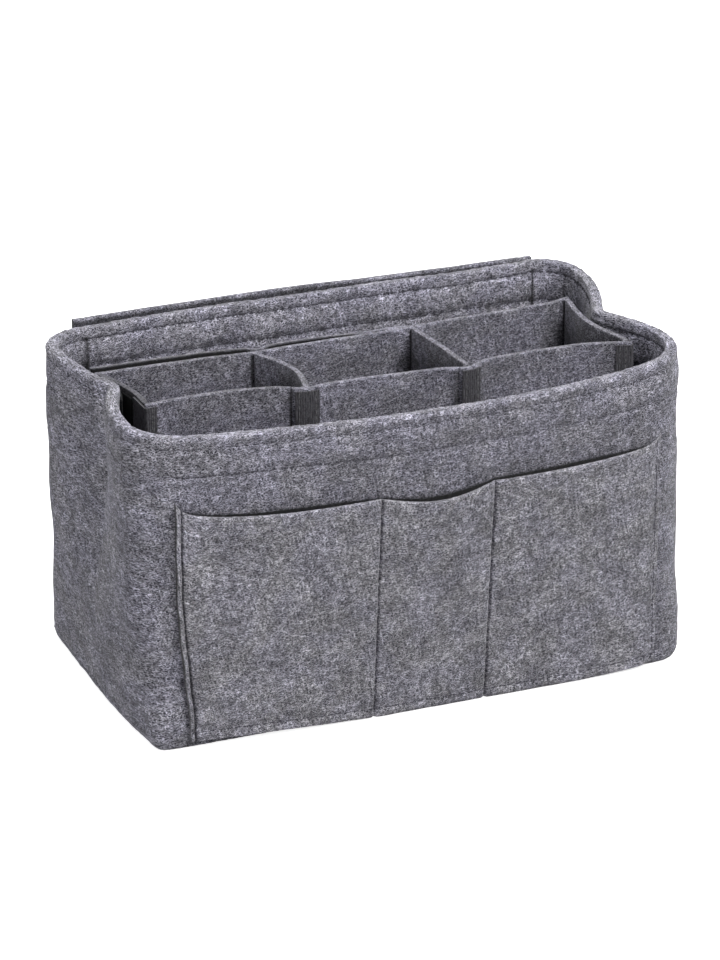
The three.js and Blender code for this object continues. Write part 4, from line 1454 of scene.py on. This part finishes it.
def back_seam_route(tub, x):
    """A route up a seam of the back panel"""
    thread = settings().thread
    z = np.linspace(thread.base_rise + SEAM_START, tub.s.height - thread.rim_drop, SEAM_POINTS)
    x = np.full_like(z, x)
    y = tub.face_y(x, z, 1) + SEAT_GAP + tub.s.felt - BACK_SEAM_DEPTH
    return route(np.stack([x, y, z], axis=-1), 0, 1, 0)


def base_routes(pockets, half):
    """Routes along the bottom edge, in front, behind and on the two sides"""
    tub, rise = pockets.tub, settings().thread.base_rise
    x = np.linspace(-half + ROW_MARGIN, half - ROW_MARGIN, BASE_POINTS)
    z = np.full_like(x, rise)
    y = tub.face_y(x, z, 1) + SEAT_GAP + tub.s.felt - BACK_BASE_DEPTH
    routes = [route(pockets.outer(x, z + pockets.bottom(x), sunk=FRONT_BASE_DEPTH), 0, -1, 0),
              route(np.stack([x, y, z], axis=-1), 0, 1, 0)]
    row, out = tub.row_and_out(tub.outline(), np.array([rise]), np.array([SIDE_BASE_DEPTH]))
    for side in (-1, 1):
        kept = np.flatnonzero(side * row[:, 0] > half + ROW_MARGIN)
        kept = kept[np.argsort(row[kept, 1])]
        routes.append((row[kept], out[kept]))
    return routes


def build_pocket_stitching():
    """Stitches down the pocket seams and along the bottom edge"""
    pockets = FrontPockets()
    half = pockets.half
    seams = stitching("pocket_stitching", [front_seam_route(pockets, x) for x in pockets.seams], 3)
    finish_piece(seams, "tub", "thread", "pocket_left_edge_thread", "pocket_left_middle_thread",
                 "pocket_right_middle_thread", "pocket_right_edge_thread")
    places = (-half + BACK_ALLOWANCE, half - BACK_ALLOWANCE)
    back = stitching("back_pocket_stitching", [back_seam_route(pockets.tub, x) for x in places], 4)
    finish_piece(back, "tub", "thread", "back_pocket_left_thread", "back_pocket_right_thread")
    base = stitching("base_stitching", base_routes(pockets, half), 5)
    finish_piece(base, "tub", "thread", "front_base_thread", "back_base_thread",
                 "left_base_thread", "right_base_thread")


# The divider

# Thicknesses of the tapes, how far the grip tapes lie below the rim, and counts of points
TAPE_THICKNESS = 1 * MM
GRIP_THICKNESS = 0.9 * MM
GRIP_DROP = 5 * MM
PANEL_POINTS = 181
WALL_POINTS = 60
FLANGE_POINTS = 12

# How much of a wall's front end is turned and shows beside its tape
TURNED_END = 3 * MM


class Divider:
    """Lines in plan of the divider's panels and walls"""

    def __init__(self):
        self.s = settings().divider
        self.tub = Tub()
        s = self.s
        self.felt = self.tub.s.felt
        self.length = self.tub.s.width - 2 * s.inset
        self.left = -s.shift_left - self.length / 2
        self.bottom = self.felt + SEAT_GAP
        self.top = self.tub.s.height - s.drop
        self.step = self.felt + SEAT_GAP
        self.back = self.plan_line(BACK_LINE, -s.rack / 2)
        self.front = self.plan_line(FRONT_LINE, s.rack / 2)
        self.back_joints = self.joints(-s.rack / 2)
        self.front_joints = self.joints(s.rack / 2)
        self.rear = beside(self.back, self.step + self.slit(self.back[:, 0]))
        self.back_inner = beside(self.back, -self.felt / 2 - SEAT_GAP)
        self.front_inner = beside(self.front, self.step)
        self.grip_top = self.tub.s.height - GRIP_DROP
        self.grip_bottom = self.grip_top - s.grip_height

    def plan_line(self, shares, rack):
        """A smooth panel line through places given as shares of the length and the depth"""
        points = [(self.left + a * self.length + rack, -self.s.shift_forward + b * self.s.depth)
                  for a, b in shares]
        return curve_through(points, PANEL_POINTS)

    def joints(self, rack):
        """Places along X of the joints with the walls"""
        return [self.left + share * self.length + rack for share in JOINT_SHARES]

    def slit(self, x):
        """How far the rear layer stands off the lining"""
        places = self.left + np.array([share for share, _ in SLIT_LINE]) * self.length
        return self.s.slit * np.interp(x, places, [opening for _, opening in SLIT_LINE])

    def hem_inward(self, fold):
        """How far the inner face of the hem lies inside the wall's face at a fold"""
        slope = FOLD_SHARPNESS * fold / self.tub.s.reach_front
        return 2 * self.tub.s.felt * math.hypot(1, slope)

    def end_wall_x(self, side):
        """Where the middle of an end wall lies at the fold, inside the hem and both grip tapes"""
        tub = self.tub
        fold = tub.s.left_fold if side < 0 else tub.s.right_fold
        stack = self.hem_inward(fold) + 2 * GRIP_THICKNESS + 3 * SEAT_GAP + self.felt / 2
        x = tub.place(side * tub.half_width, np.array(tub.fold_y), self.grip_bottom)[0]
        return float(x) - side * stack

    def fold_y(self):
        """Where the side folds lie along Y at the divider's top"""
        tub = self.tub
        return float(tub.place(tub.half_width, np.array(tub.fold_y), self.top)[1])

    def wall(self, i):
        """A wall's line in plan from its back end, and that line with its turned front end"""
        side = WALL_SIDES[i]
        inset = side * self.felt / 2
        reach = FLANGE_TURNS[i] * (TURNED_END + self.felt)
        back = self.back_joints[i] - inset + BACK_END_SHIFTS[i]
        front = self.front_joints[i] - inset + FRONT_END_SHIFTS[i]
        turned = on_line(self.front_inner, np.linspace(front, front + reach, FLANGE_POINTS))
        start, end = on_line(self.back_inner, back), turned[0]
        power = WALL_BOW_POWERS[i]
        if side:
            share = (start[1] - self.fold_y()) / (start[1] - end[1])
            straight = start[0] + (end[0] - start[0]) * share
            bow = (self.end_wall_x(side) - straight) / math.sin(math.pi * share) ** power
        else:
            bow = MIDDLE_BOW_SHARES[i - 1] * self.s.depth
        shares = np.linspace(0, 1, WALL_POINTS)[:, None]
        across = start + (end - start) * shares + np.sin(math.pi * shares) ** power * (bow, 0)
        return across, np.vstack([across, turned[1:]])


# Upright strips: the first columns from each end, how cut ends and edges are rounded, how much
# thinner an end is, and where unevenness and dips fade
END_PLACES = np.array((0, 0.12, 0.35, 0.7, 1.2)) * MM
COLUMN_START = 2.2 * MM
NEAR_COLUMN = 0.3 * MM
CUT_ROUND = 0.55 * MM
END_SQUEEZE = 0.45
END_SQUEEZE_REACH = 1.2 * MM
END_WAVE_REACH = 8 * MM
TOP_WAVE_DEPTH = 20 * MM
TOP_WAVE_LENGTH = 15 * MM
DIP_DEPTH = 30 * MM
CUT_DEPTH = 0.4 * MM
TOP_WAVE_SEED = 100


def upright_strip(name, line, thickness, bottom, top, finish, seed, uneven=0.25 * MM,
                  column=1.2 * MM, top_wave=0.0, cut=0.0, dip=None, groove=None, dark=None,
                  near=()):
    """An upright strip along a line in plan, with cut edges and soft unevenness. cut says how pale
    its upper edge is, partly the cut felt's own tone and partly painted light from above, dip how
    far its top sinks, groove how far its right face does, and dark how deep its painted shade is.
    Its columns stand closer near the given places."""
    lengths = along(line)
    length = lengths[-1]
    inner_places = march(COLUMN_START, length - COLUMN_START, near, NEAR_COLUMN, column)
    places = np.unique(np.concatenate([END_PLACES, inner_places, length - END_PLACES]))
    fine = np.stack([np.interp(places, lengths, line[:, k]) for k in (0, 1)], axis=1)
    left = left_of(line)
    left = np.stack([np.interp(places, lengths, left[:, k]) for k in (0, 1)], axis=1)
    left = left / np.linalg.norm(left, axis=1)[:, None]
    half = thickness / 2
    rounding = min(CUT_ROUND, thickness / 3)
    loop = section([(-half, bottom, rounding), (-half, top, rounding), (half, top, rounding),
                    (half, bottom, rounding)], (top,), fine=0.8 * MM, coarse=6 * MM, arc_steps=3)
    a, z = loop[:, 0], np.broadcast_to(loop[:, 1], (len(places), len(loop)))
    from_end = np.minimum(places, length - places)[:, None]
    squeeze = 1 - END_SQUEEZE * (1 - np.clip(from_end / END_SQUEEZE_REACH, 0, 1)) ** 2
    wave = Ripple(seed, 18 * MM, 90 * MM, uneven)(places[:, None], z)
    offset = a * squeeze + wave * smooth(from_end / END_WAVE_REACH)
    if groove:
        offset = offset + groove(places)[:, None] * (a < 0)
    height = z
    if top_wave:
        lift = Ripple(seed + TOP_WAVE_SEED, 20 * MM, 100 * MM, top_wave)(places, 0)[:, None]
        height = height + lift * smooth((z - top + TOP_WAVE_DEPTH) / TOP_WAVE_LENGTH)
    if dip:
        height = height - dip(places, length)[:, None] * smooth((z - top + DIP_DEPTH) / DIP_DEPTH)
    # Paler top, partly the cut felt's own tone and partly painted light from above; painted shade
    # below 0
    marks = np.where(np.abs(z - top) < CUT_DEPTH, cut, 0)
    if dark:
        marks = marks - dark(places[:, None], a / half, top - z)
    return loft(name, off_line(fine, left, offset, height), finish, marks=marks)


# Shades of the back lining beside walls: the wall, its face in thicknesses of felt, how far the
# shade reaches and how deep it is; and the line in the corner
CORNER_SHADES = ((1, 0.5, 3.5 * MM, 0.35), (2, 0.5, 10 * MM, 0.8), (3, 1, 8 * MM, 0.75))
CORNER_LINE = (0.9, 0.8 * MM)
CORNER_DEPTH = 22 * MM
MOST_SHADE = 0.95
EDGE_FADE = 1.5 * MM

# The card slit's shade follows its opening; the rear layer sinks where the slit has closed, and
# the lining stands higher at its right end
SLIT_DARK_SHARE = 0.12
SLIT_FADE = 0.5 * MM
REAR_DIP = 1.8 * MM
REAR_DIP_SHARE = 0.6
REAR_DIP_LENGTH = 20 * MM
LINING_RISE = 1.6 * MM
LINING_RISE_LENGTH = 12 * MM

# On the front panel: where the felt is drawn in to the left of the middle tapes, and shades as
# groove, place past it, half width and depth
TAPE_GAPS = (0.0070, 0.0052)
GAP_GROOVE = (1.5 * MM, 0.9 * MM)
GAP_SHADES = ((0, 0, 1.0 * MM, 0.85), (1, -1.0 * MM, 2.2 * MM, 0.7), (1, 15 * MM, 5 * MM, 0.35))


def lining_dark(divider):
    """The shade of the back lining in the corners with the walls, and where those are"""
    corners = [divider.back_joints[i] + BACK_END_SHIFTS[i] - share * divider.felt
               for i, share, _, _ in CORNER_SHADES]
    starts = [length_at(divider.back, corner) for corner in corners]

    def dark(places, side, below):
        total = 0
        for start, (_, _, reach, strength) in zip(starts, CORNER_SHADES):
            away = start - places
            line_shade = CORNER_LINE[0] * bell(away, CORNER_LINE[1])
            wedge = strength * fading(away, reach) * smooth(below / CORNER_DEPTH)
            total = total + np.maximum(line_shade, np.where(away > 0, wedge, 0))
        return np.minimum(total, MOST_SHADE) * (side < 0) * smooth(below / EDGE_FADE)
    return dark, starts


def lining_dip(places, length):
    """The lining stands a little higher at its right end"""
    return -LINING_RISE * smooth((places - length + LINING_RISE_LENGTH) / LINING_RISE_LENGTH)


def rear_dark(divider):
    """The card slit, dark on the inner face of the rear layer where the slit is open"""
    lengths = along(divider.rear)
    opening = divider.slit(divider.back[:, 0]) / divider.s.slit

    def dark(places, side, below):
        open_here = smooth(np.interp(places, lengths, opening) / SLIT_DARK_SHARE)
        return open_here * (side < 0.1) * smooth((below + SLIT_FADE) / SLIT_FADE)
    return dark


def rear_dip(divider):
    """The rear layer stands a little lower where the card slit has closed"""
    start = length_at(divider.rear, divider.left + REAR_DIP_SHARE * divider.length)
    return lambda places, length: REAR_DIP * smooth((places - start) / REAR_DIP_LENGTH)


def front_panel_shape(divider):
    """Grooves and shades of the front panel beside its middle tapes, and where those are"""
    gaps = [length_at(divider.front, joint - gap)
            for joint, gap in zip(divider.front_joints[1:3], TAPE_GAPS)]

    def groove(places):
        return sum(GAP_GROOVE[0] * bell(places - gap, GAP_GROOVE[1]) for gap in gaps)

    def dark(places, side, below):
        depth = sum(bell(places - gaps[i] - offset, width) * strength
                    for i, offset, width, strength in GAP_SHADES)
        return depth * (side < 0) * smooth(below / EDGE_FADE)
    return groove, dark, gaps


def build_divider_panels():
    """The divider's front panel, and its back made of a lining and a rear layer"""
    divider = Divider()
    groove, gap_dark, gaps = front_panel_shape(divider)
    corner_dark, corners = lining_dark(divider)
    panels = (
        ("front_panel", divider.front, 41, {"top_wave": 0.35 * MM, "cut": 0.12, "groove": groove,
                                            "dark": gap_dark, "near": gaps}),
        ("back_lining", divider.back, 42, {"top_wave": 0.2 * MM, "cut": 0.2, "dip": lining_dip,
                                           "dark": corner_dark, "near": corners}),
        ("back_panel", divider.rear, 42, {"top_wave": 0.2 * MM, "cut": 0.2,
                                          "dip": rear_dip(divider), "dark": rear_dark(divider)}),
    )
    for name, line, seed, looks in panels:
        panel = upright_strip(f"divider_{name}_felt", line, divider.felt, divider.bottom,
                              divider.top, "heather_of_divider", seed, **looks)
        finish_piece(panel, "divider", "divider_felt", "divider_" + name)


# How much of a wall's turned front end is cut off, and how the last wall's back end stands higher
FRONT_TRIM = 3 * MM
FRONT_TRIM_REACH = 6 * MM
FRONT_TRIM_LENGTH = 4 * MM
BACK_RISE = 1.6 * MM
BACK_RISE_LENGTH = 13 * MM

# Shades of the walls: a line in the back corner, the left face of the middle ones and of the
# last, and the upper part of the first, which lies against the tub
WALL_CORNER = (0.85, 1.0 * MM)
WALL_FACE_SHADES = (0, 0.15, 0.15, 0.32)
WALL_FACE_FADE = 3 * MM
FIRST_SHADE = 0.8
FIRST_SHADE_SIDE = 0.7
FIRST_SHADE_EDGE = 0.6 * MM
FIRST_SHADE_DEPTH = 60 * MM
FIRST_SHADE_FADE = 35 * MM
LAST_WALL = len(WALL_NAMES) - 1


def wall_dip(i):
    """The turned front end of a wall is trimmed lower than the wall, and the last wall's back
    end stands higher"""
    def dip(places, length):
        front = FRONT_TRIM * smooth((places - length + FRONT_TRIM_REACH) / FRONT_TRIM_LENGTH)
        back = BACK_RISE * (1 - smooth(places / BACK_RISE_LENGTH))
        return front - back if i == LAST_WALL else front
    return dip


def first_wall_dark(places, side, below):
    """The shade high up on the first wall, which lies against the tub's side"""
    edge = smooth((below + FIRST_SHADE_EDGE) / FIRST_SHADE_EDGE)
    depth = smooth((FIRST_SHADE_DEPTH - below) / FIRST_SHADE_FADE)
    return FIRST_SHADE * edge * depth * (side < FIRST_SHADE_SIDE)


def wall_dark(i):
    """The shade of a wall: on its left face, and deeper in its back corner"""
    def dark(places, side, below):
        corner = WALL_CORNER[0] * bell(places, WALL_CORNER[1]) * smooth(below / EDGE_FADE)
        face = WALL_FACE_SHADES[i] * smooth(below / WALL_FACE_FADE)
        return np.maximum(corner, face) * (side < 0)
    return dark if i else first_wall_dark


def build_divider_walls():
    """The divider's four walls, with their front ends turned and sewn to the front panel"""
    divider = Divider()
    for i, name in enumerate(WALL_NAMES):
        line = softened(resample(divider.wall(i)[1], 0.5 * MM), 6)
        piece = upright_strip(name + "_felt", line, divider.felt, divider.bottom, divider.top,
                              "heather_of_divider", 50 + i, uneven=0.12 * MM,
                              top_wave=0.15 * MM, cut=0.3, dip=wall_dip(i), dark=wall_dark(i))
        finish_piece(piece, "divider", "divider_felt", name)


# Ribbed tapes, from left to right: how much shorter the left part of a middle one is, and how far
# an outer one reaches along the front and back round the corner
TAPE_MARGIN = 0.7 * MM
TAPE_SHORTENING = (0, 0.4 * MM, 2.4 * MM, 0)
TAPE_FRONT_REACH = (5.8 * MM, 0, 0, 8 * MM)
TAPE_BACK_REACH = (18 * MM, 0, 0, 11 * MM)
TAPE_CORNER = 2 * MM
TAPE_OVERRUN = 0.5 * MM
TAPE_POINTS = (24, 40, 40, 24)
TAPE_DROP = 1 * MM
RIB_STEP = 0.16 * MM
RIB_DEPTH = 0.22 * MM
TAPE_ROUND = 0.1 * MM


def tape_offset(divider, thickness):
    """How far the middle of a tape lies from the middle of the felt that carries it"""
    return divider.felt / 2 + SEAT_GAP + thickness / 2


def tape_path(divider, i, line):
    """The line in plan of the tape over a joint, from left to right. The outer two go round the
    corner on to the end wall."""
    joint, side = divider.front_joints[i], WALL_SIDES[i]
    if not side:
        half = divider.s.tape_width / 2
        start = joint - half + TAPE_MARGIN + TAPE_SHORTENING[i]
        return on_line(line, np.linspace(start, joint + half, TAPE_POINTS[i]))
    front = on_line(line, np.linspace(joint + TAPE_OVERRUN * side,
                                      joint - side * TAPE_FRONT_REACH[i], TAPE_POINTS[i]))
    outside = beside(divider.wall(i)[0], side * tape_offset(divider, TAPE_THICKNESS))
    behind = outside[:, 1] - front[0, 1]
    flank = outside[(behind < TAPE_BACK_REACH[i]) & (behind > TAPE_CORNER)]
    whole = np.vstack([flank, front])[::-side]
    return softened(resample(whole, 0.4 * MM), 6)


def ribbed_strip(name, divider, path):
    """Ribbed tape standing on a line in plan, with its ribs on the right of it"""
    fine = resample(path, RIB_STEP)
    rib = 0.5 - 0.5 * np.cos(TAU * along(fine) / divider.s.rib_pitch)
    low, high = divider.bottom, divider.top - TAPE_DROP
    corners = ((-0.5, low), (-0.5, high), (0.5, high), (0.5, low))
    loop = section([(side, z, TAPE_ROUND) for side, z in corners], (), fine=4 * MM,
                   coarse=9 * MM, arc_steps=1)
    a, z = loop[:, 0], np.broadcast_to(loop[:, 1], (len(fine), len(loop)))
    front = np.where(a < 0, rib[:, None] * RIB_DEPTH, 0)
    offset = np.sign(a) * TAPE_THICKNESS / 2 - front + RIB_DEPTH / 2
    return loft(name, off_line(fine, left_of(fine), offset, z), "ribbed_weave")


# Stitches of the joints: how far their rows stay inside a tape's edges and ends
JOINT_PITCH = 3.4 * MM
JOINT_ROW_INSET = 2 * MM
JOINT_MARGIN = 3 * MM
JOINT_POINTS = 30
JOINT_SEAT = 0.55 * MM
CORNER_MARGIN = 1 * MM


def upright_route(divider, line, x, offset, facing):
    """A route straight up a panel line at a place along X"""
    ahead = on_line(line, x + PROBE) - on_line(line, x - PROBE)
    ahead = ahead / np.linalg.norm(ahead)
    left = np.array((-ahead[1], ahead[0]))
    z = np.linspace(divider.bottom + JOINT_MARGIN, divider.top - JOINT_MARGIN, JOINT_POINTS)
    points = np.column_stack([np.tile(on_line(line, x) + left * offset, (len(z), 1)), z])
    return route(points, left[0] * facing, left[1] * facing, 0)


def joint_routes(divider, i, line, path):
    """Two rows of stitches down a joint tape, and one down the joint on the back"""
    joint = divider.front_joints[i]
    low = joint + CORNER_MARGIN if i == 0 else path[0, 0]
    high = joint - CORNER_MARGIN if i == LAST_WALL else path[-1, 0]
    rear_x = divider.back_joints[i] + FLANGE_TURNS[i] * (divider.felt / 2 + divider.s.flange / 2)
    return [upright_route(divider, line, low + JOINT_ROW_INSET, -JOINT_SEAT, -1),
            upright_route(divider, line, high - JOINT_ROW_INSET, -JOINT_SEAT, -1),
            upright_route(divider, divider.rear, rear_x, divider.felt / 2, 1)]


def build_joint_tapes():
    """Ribbed tapes over the joints on the front of the divider, with their stitches"""
    divider = Divider()
    line = beside(divider.front, -tape_offset(divider, TAPE_THICKNESS))
    for i, name in enumerate(TAPE_NAMES):
        path = tape_path(divider, i, line)
        tape = ribbed_strip(name + "_joint_ribbed", divider, path)
        finish_piece(tape, "divider", "ribbed_tape", name + "_joint_tape")
        sewn = stitching(name + "_joint_stitching", joint_routes(divider, i, line, path), 60 + i,
                         pitch=JOINT_PITCH, finish="joint_thread")
        finish_piece(sewn, "divider", "thread", name + "_joint_left_thread",
                     name + "_joint_right_thread", name + "_joint_back_thread")


def grip_strip(name, divider, path, seed):
    """A hook or loop tape along a line in plan"""
    return upright_strip(name, path, GRIP_THICKNESS, divider.grip_bottom, divider.grip_top,
                         "grip_weave", seed, uneven=0.02 * MM, column=1 * MM)


def hook_path(divider, side, wall):
    """The line in plan of a hook tape, on the outside of an end wall"""
    line = beside(divider.wall(wall)[0], side * tape_offset(divider, GRIP_THICKNESS))
    half = divider.s.grip_width / 2
    y = np.linspace(divider.fold_y() + half, divider.fold_y() - half, 30)
    return np.stack([np.interp(-y, -line[:, 1], line[:, 0]), y], axis=1)


def loop_path(divider, side, fold):
    """The line in plan of a loop tape, on the inside of the hem"""
    tub, half = divider.tub, divider.s.grip_width / 2
    inward = divider.hem_inward(fold) + SEAT_GAP + GRIP_THICKNESS / 2
    y = np.linspace(tub.fold_y - side * half, tub.fold_y + side * half, 31)
    middle = (divider.grip_bottom + divider.grip_top) / 2
    px, py = tub.place(np.full_like(y, side * tub.half_width), y, middle)
    return np.stack([px - side * inward, py], axis=1)


def build_grip_tapes():
    """Hook tapes on the divider's end walls and loop tapes on the hem"""
    divider = Divider()
    folds = divider.tub.s
    for name, side, wall, fold in (("left", -1, 0, folds.left_fold),
                                   ("right", 1, LAST_WALL, folds.right_fold)):
        hook = grip_strip(name + "_hook_grip", divider, hook_path(divider, side, wall), 70 + wall)
        finish_piece(hook, "divider", "hook_tape", name + "_hook_tape")
        loops = grip_strip(name + "_loop_grip", divider, loop_path(divider, side, fold), 80 + wall)
        finish_piece(loops, "tub", "loop_tape", name + "_loop_tape")


# The stage

# The camera: its focal length and the shift of its axis, in pixels of a frame of this height, and
# its place and target
FRAME_HEIGHT = 960
FOCAL_PIXELS = 4223.9
AXIS_PIXELS = (-6.57, 15.74)
SENSOR_WIDTH = 36
CAMERA_PLACE = (-0.78933, -1.95268, 1.01411)
CAMERA_TARGET = (0, 0, 0.09)
CAMERA_REACH = 50

# Lamps: name, place, target, width and power
LAMPS = (
    ("key", (0.8, -1.6, 2.45), (0, 0, 0.1), 1.5, 111),
    ("behind", (0.3, 2.2, 1.6), (0, 0, 0.1), 1.6, 36),
    ("low_left", (-2.4, -0.9, 0.35), (0, 0, 0.08), 0.8, 30),
)

# Surroundings and floor: what lights the object, and what the camera sees
SKY_COLOUR = (0.96, 0.98, 1, 1)
SKY_STRENGTH = 0.22
WHITE = (1, 1, 1, 1)
FLOOR_COLOUR = (0.12, 0.12, 0.12, 1)
FLOOR_GLOW = 0.85
FLOOR_REACH = 12


def look_at(thing, place, target):
    """Puts a lamp or camera at a place, turned to a target"""
    thing.location = place
    way = Vector(target) - Vector(place)
    thing.rotation_euler = way.to_track_quat("-Z", "Y").to_euler()


def add_camera(scene):
    """The camera at the fitted place"""
    lens = bpy.data.cameras.new("camera")
    lens.sensor_width = SENSOR_WIDTH
    lens.lens = SENSOR_WIDTH * FOCAL_PIXELS / FRAME_HEIGHT
    lens.shift_x, lens.shift_y = (pixels / FRAME_HEIGHT for pixels in AXIS_PIXELS)
    lens.clip_end = CAMERA_REACH
    scene.camera = add_object("camera", lens)
    look_at(scene.camera, CAMERA_PLACE, CAMERA_TARGET)


def add_area_lamp(name, place, target, width, power):
    """A soft square lamp"""
    light = bpy.data.lights.new(name, "AREA")
    light.shape = "SQUARE"
    light.size = width
    light.energy = power
    look_at(add_object(name, light), place, target)


def show_apart(wires, output, lighting, seen):
    """Lights with one shader, and shows another to the camera, in gloss and through glass"""
    path = wires.add("ShaderNodeLightPath")
    rays = path.out("Is Camera Ray") + path.out("Is Glossy Ray") + path.out("Is Transmission Ray")
    both = wires.add("ShaderNodeMixShader", None, {0: rays, 1: lighting, 2: seen})
    wires.add(output, None, {"Surface": both})


def add_surroundings(scene):
    """A dim light all round that is seen as white"""
    world = bpy.data.worlds.new("surroundings")
    scene.world = world
    world.use_nodes = True
    world.node_tree.nodes.clear()
    wires = Wires(world.node_tree)
    lit = wires.add("ShaderNodeBackground", None, {"Color": SKY_COLOUR, "Strength": SKY_STRENGTH})
    white = wires.add("ShaderNodeBackground", None, {"Color": WHITE})
    show_apart(wires, "ShaderNodeOutputWorld", lit, white)


def add_floor():
    """A wide floor that is seen as near white, and throws little light back"""
    r = FLOOR_REACH
    mesh = bpy.data.meshes.new("floor")
    mesh.from_pydata([(-r, -r, 0), (r, -r, 0), (r, r, 0), (-r, r, 0)], [], [(0, 1, 2, 3)])
    floor = add_object("floor", mesh)
    material, wires = new_material("pale_floor")
    dim = wires.add("ShaderNodeBsdfDiffuse", None, {"Color": FLOOR_COLOUR})
    bright = wires.add("ShaderNodeBsdfDiffuse", None, {"Color": WHITE})
    glow = wires.add("ShaderNodeEmission", None, {"Color": WHITE, "Strength": FLOOR_GLOW})
    lifted = wires.add("ShaderNodeAddShader", None, {0: bright, 1: glow})
    show_apart(wires, "ShaderNodeOutputMaterial", dim, lifted)
    mesh.materials.append(material)


def build_stage():
    """Camera, lamps, white surroundings and floor"""
    scene = bpy.context.scene
    add_camera(scene)
    scene.view_settings.view_transform = "Standard"
    for lamp in LAMPS:
        add_area_lamp(*lamp)
    add_surroundings(scene)
    add_floor()


# Operators

class ORGANIZER_OT_stage(Operator):
    """Adds the camera, lamps, surroundings and floor"""
    bl_idname = "organizer.stage"
    bl_label = "Stage"
    bl_options = {"REGISTER", "UNDO"}

    def execute(self, context):
        build_stage()
        return {"FINISHED"}


class ORGANIZER_OT_tub(Operator):
    """Builds the tub's walls and base"""
    bl_idname = "organizer.tub"
    bl_label = "Tub"
    bl_options = {"REGISTER", "UNDO"}

    def execute(self, context):
        build_tub_walls()
        build_tub_base()
        return {"FINISHED"}


class ORGANIZER_OT_rim_stitching(Operator):
    """Sews the rim and the hem"""
    bl_idname = "organizer.rim_stitching"
    bl_label = "Rim stitching"
    bl_options = {"REGISTER", "UNDO"}

    def execute(self, context):
        build_rim_stitching()
        return {"FINISHED"}


class ORGANIZER_OT_pockets(Operator):
    """Builds the front and back pockets"""
    bl_idname = "organizer.pockets"
    bl_label = "Pockets"
    bl_options = {"REGISTER", "UNDO"}

    def execute(self, context):
        build_front_pockets()
        build_back_pocket()
        return {"FINISHED"}


class ORGANIZER_OT_pocket_stitching(Operator):
    """Sews the pockets down, and the base in"""
    bl_idname = "organizer.pocket_stitching"
    bl_label = "Pocket stitching"
    bl_options = {"REGISTER", "UNDO"}

    def execute(self, context):
        build_pocket_stitching()
        return {"FINISHED"}


class ORGANIZER_OT_divider_panels(Operator):
    """Builds the divider's front panel, lining and rear layer"""
    bl_idname = "organizer.divider_panels"
    bl_label = "Divider panels"
    bl_options = {"REGISTER", "UNDO"}

    def execute(self, context):
        build_divider_panels()
        return {"FINISHED"}


class ORGANIZER_OT_divider_walls(Operator):
    """Builds the divider's four walls"""
    bl_idname = "organizer.divider_walls"
    bl_label = "Divider walls"
    bl_options = {"REGISTER", "UNDO"}

    def execute(self, context):
        build_divider_walls()
        return {"FINISHED"}


class ORGANIZER_OT_joint_tapes(Operator):
    """Adds the ribbed tapes and sews them on"""
    bl_idname = "organizer.joint_tapes"
    bl_label = "Joint tapes"
    bl_options = {"REGISTER", "UNDO"}

    def execute(self, context):
        build_joint_tapes()
        return {"FINISHED"}


class ORGANIZER_OT_grip_tapes(Operator):
    """Adds the hook and loop tapes"""
    bl_idname = "organizer.grip_tapes"
    bl_label = "Grip tapes"
    bl_options = {"REGISTER", "UNDO"}

    def execute(self, context):
        build_grip_tapes()
        return {"FINISHED"}


OPERATORS = (
    ORGANIZER_OT_stage, ORGANIZER_OT_tub, ORGANIZER_OT_rim_stitching, ORGANIZER_OT_pockets,
    ORGANIZER_OT_pocket_stitching, ORGANIZER_OT_divider_panels, ORGANIZER_OT_divider_walls,
    ORGANIZER_OT_joint_tapes, ORGANIZER_OT_grip_tapes,
)


class ORGANIZER_PT_parts(Panel):
    """Lists the organizer's pieces in the sidebar"""
    bl_label = "Felt Organizer"
    bl_space_type = "VIEW_3D"
    bl_region_type = "UI"
    bl_category = "Organizer"

    def draw(self, context):
        layout = self.layout
        for kind in OPERATORS:
            layout.operator(kind.bl_idname)
        held = context.scene.felt_organizer
        for group in (held.tub, held.pockets, held.divider, held.thread, held.colours):
            box = layout.box()
            for key in group.bl_rna.properties.keys():
                if key not in ("rna_type", "name"):
                    box.prop(group, key)


CLASSES = (
    OrganizerTub, OrganizerPockets, OrganizerDivider, OrganizerThread, OrganizerColours,
    OrganizerSettings, *OPERATORS, ORGANIZER_PT_parts,
)


def register():
    """Makes the settings, operators and panel known to Blender"""
    for kind in CLASSES:
        bpy.utils.register_class(kind)
    bpy.types.Scene.felt_organizer = PointerProperty(type=OrganizerSettings)


def unregister():
    """Takes them away again"""
    del bpy.types.Scene.felt_organizer
    for kind in reversed(CLASSES):
        bpy.utils.unregister_class(kind)


def main():
    """Builds every piece in order"""
    register()
    bpy.ops.organizer.stage()
    bpy.ops.organizer.tub()
    bpy.ops.organizer.rim_stitching()
    bpy.ops.organizer.pockets()
    bpy.ops.organizer.pocket_stitching()
    bpy.ops.organizer.divider_panels()
    bpy.ops.organizer.divider_walls()
    bpy.ops.organizer.joint_tapes()
    bpy.ops.organizer.grip_tapes()


if __name__ == "__main__":
    main()
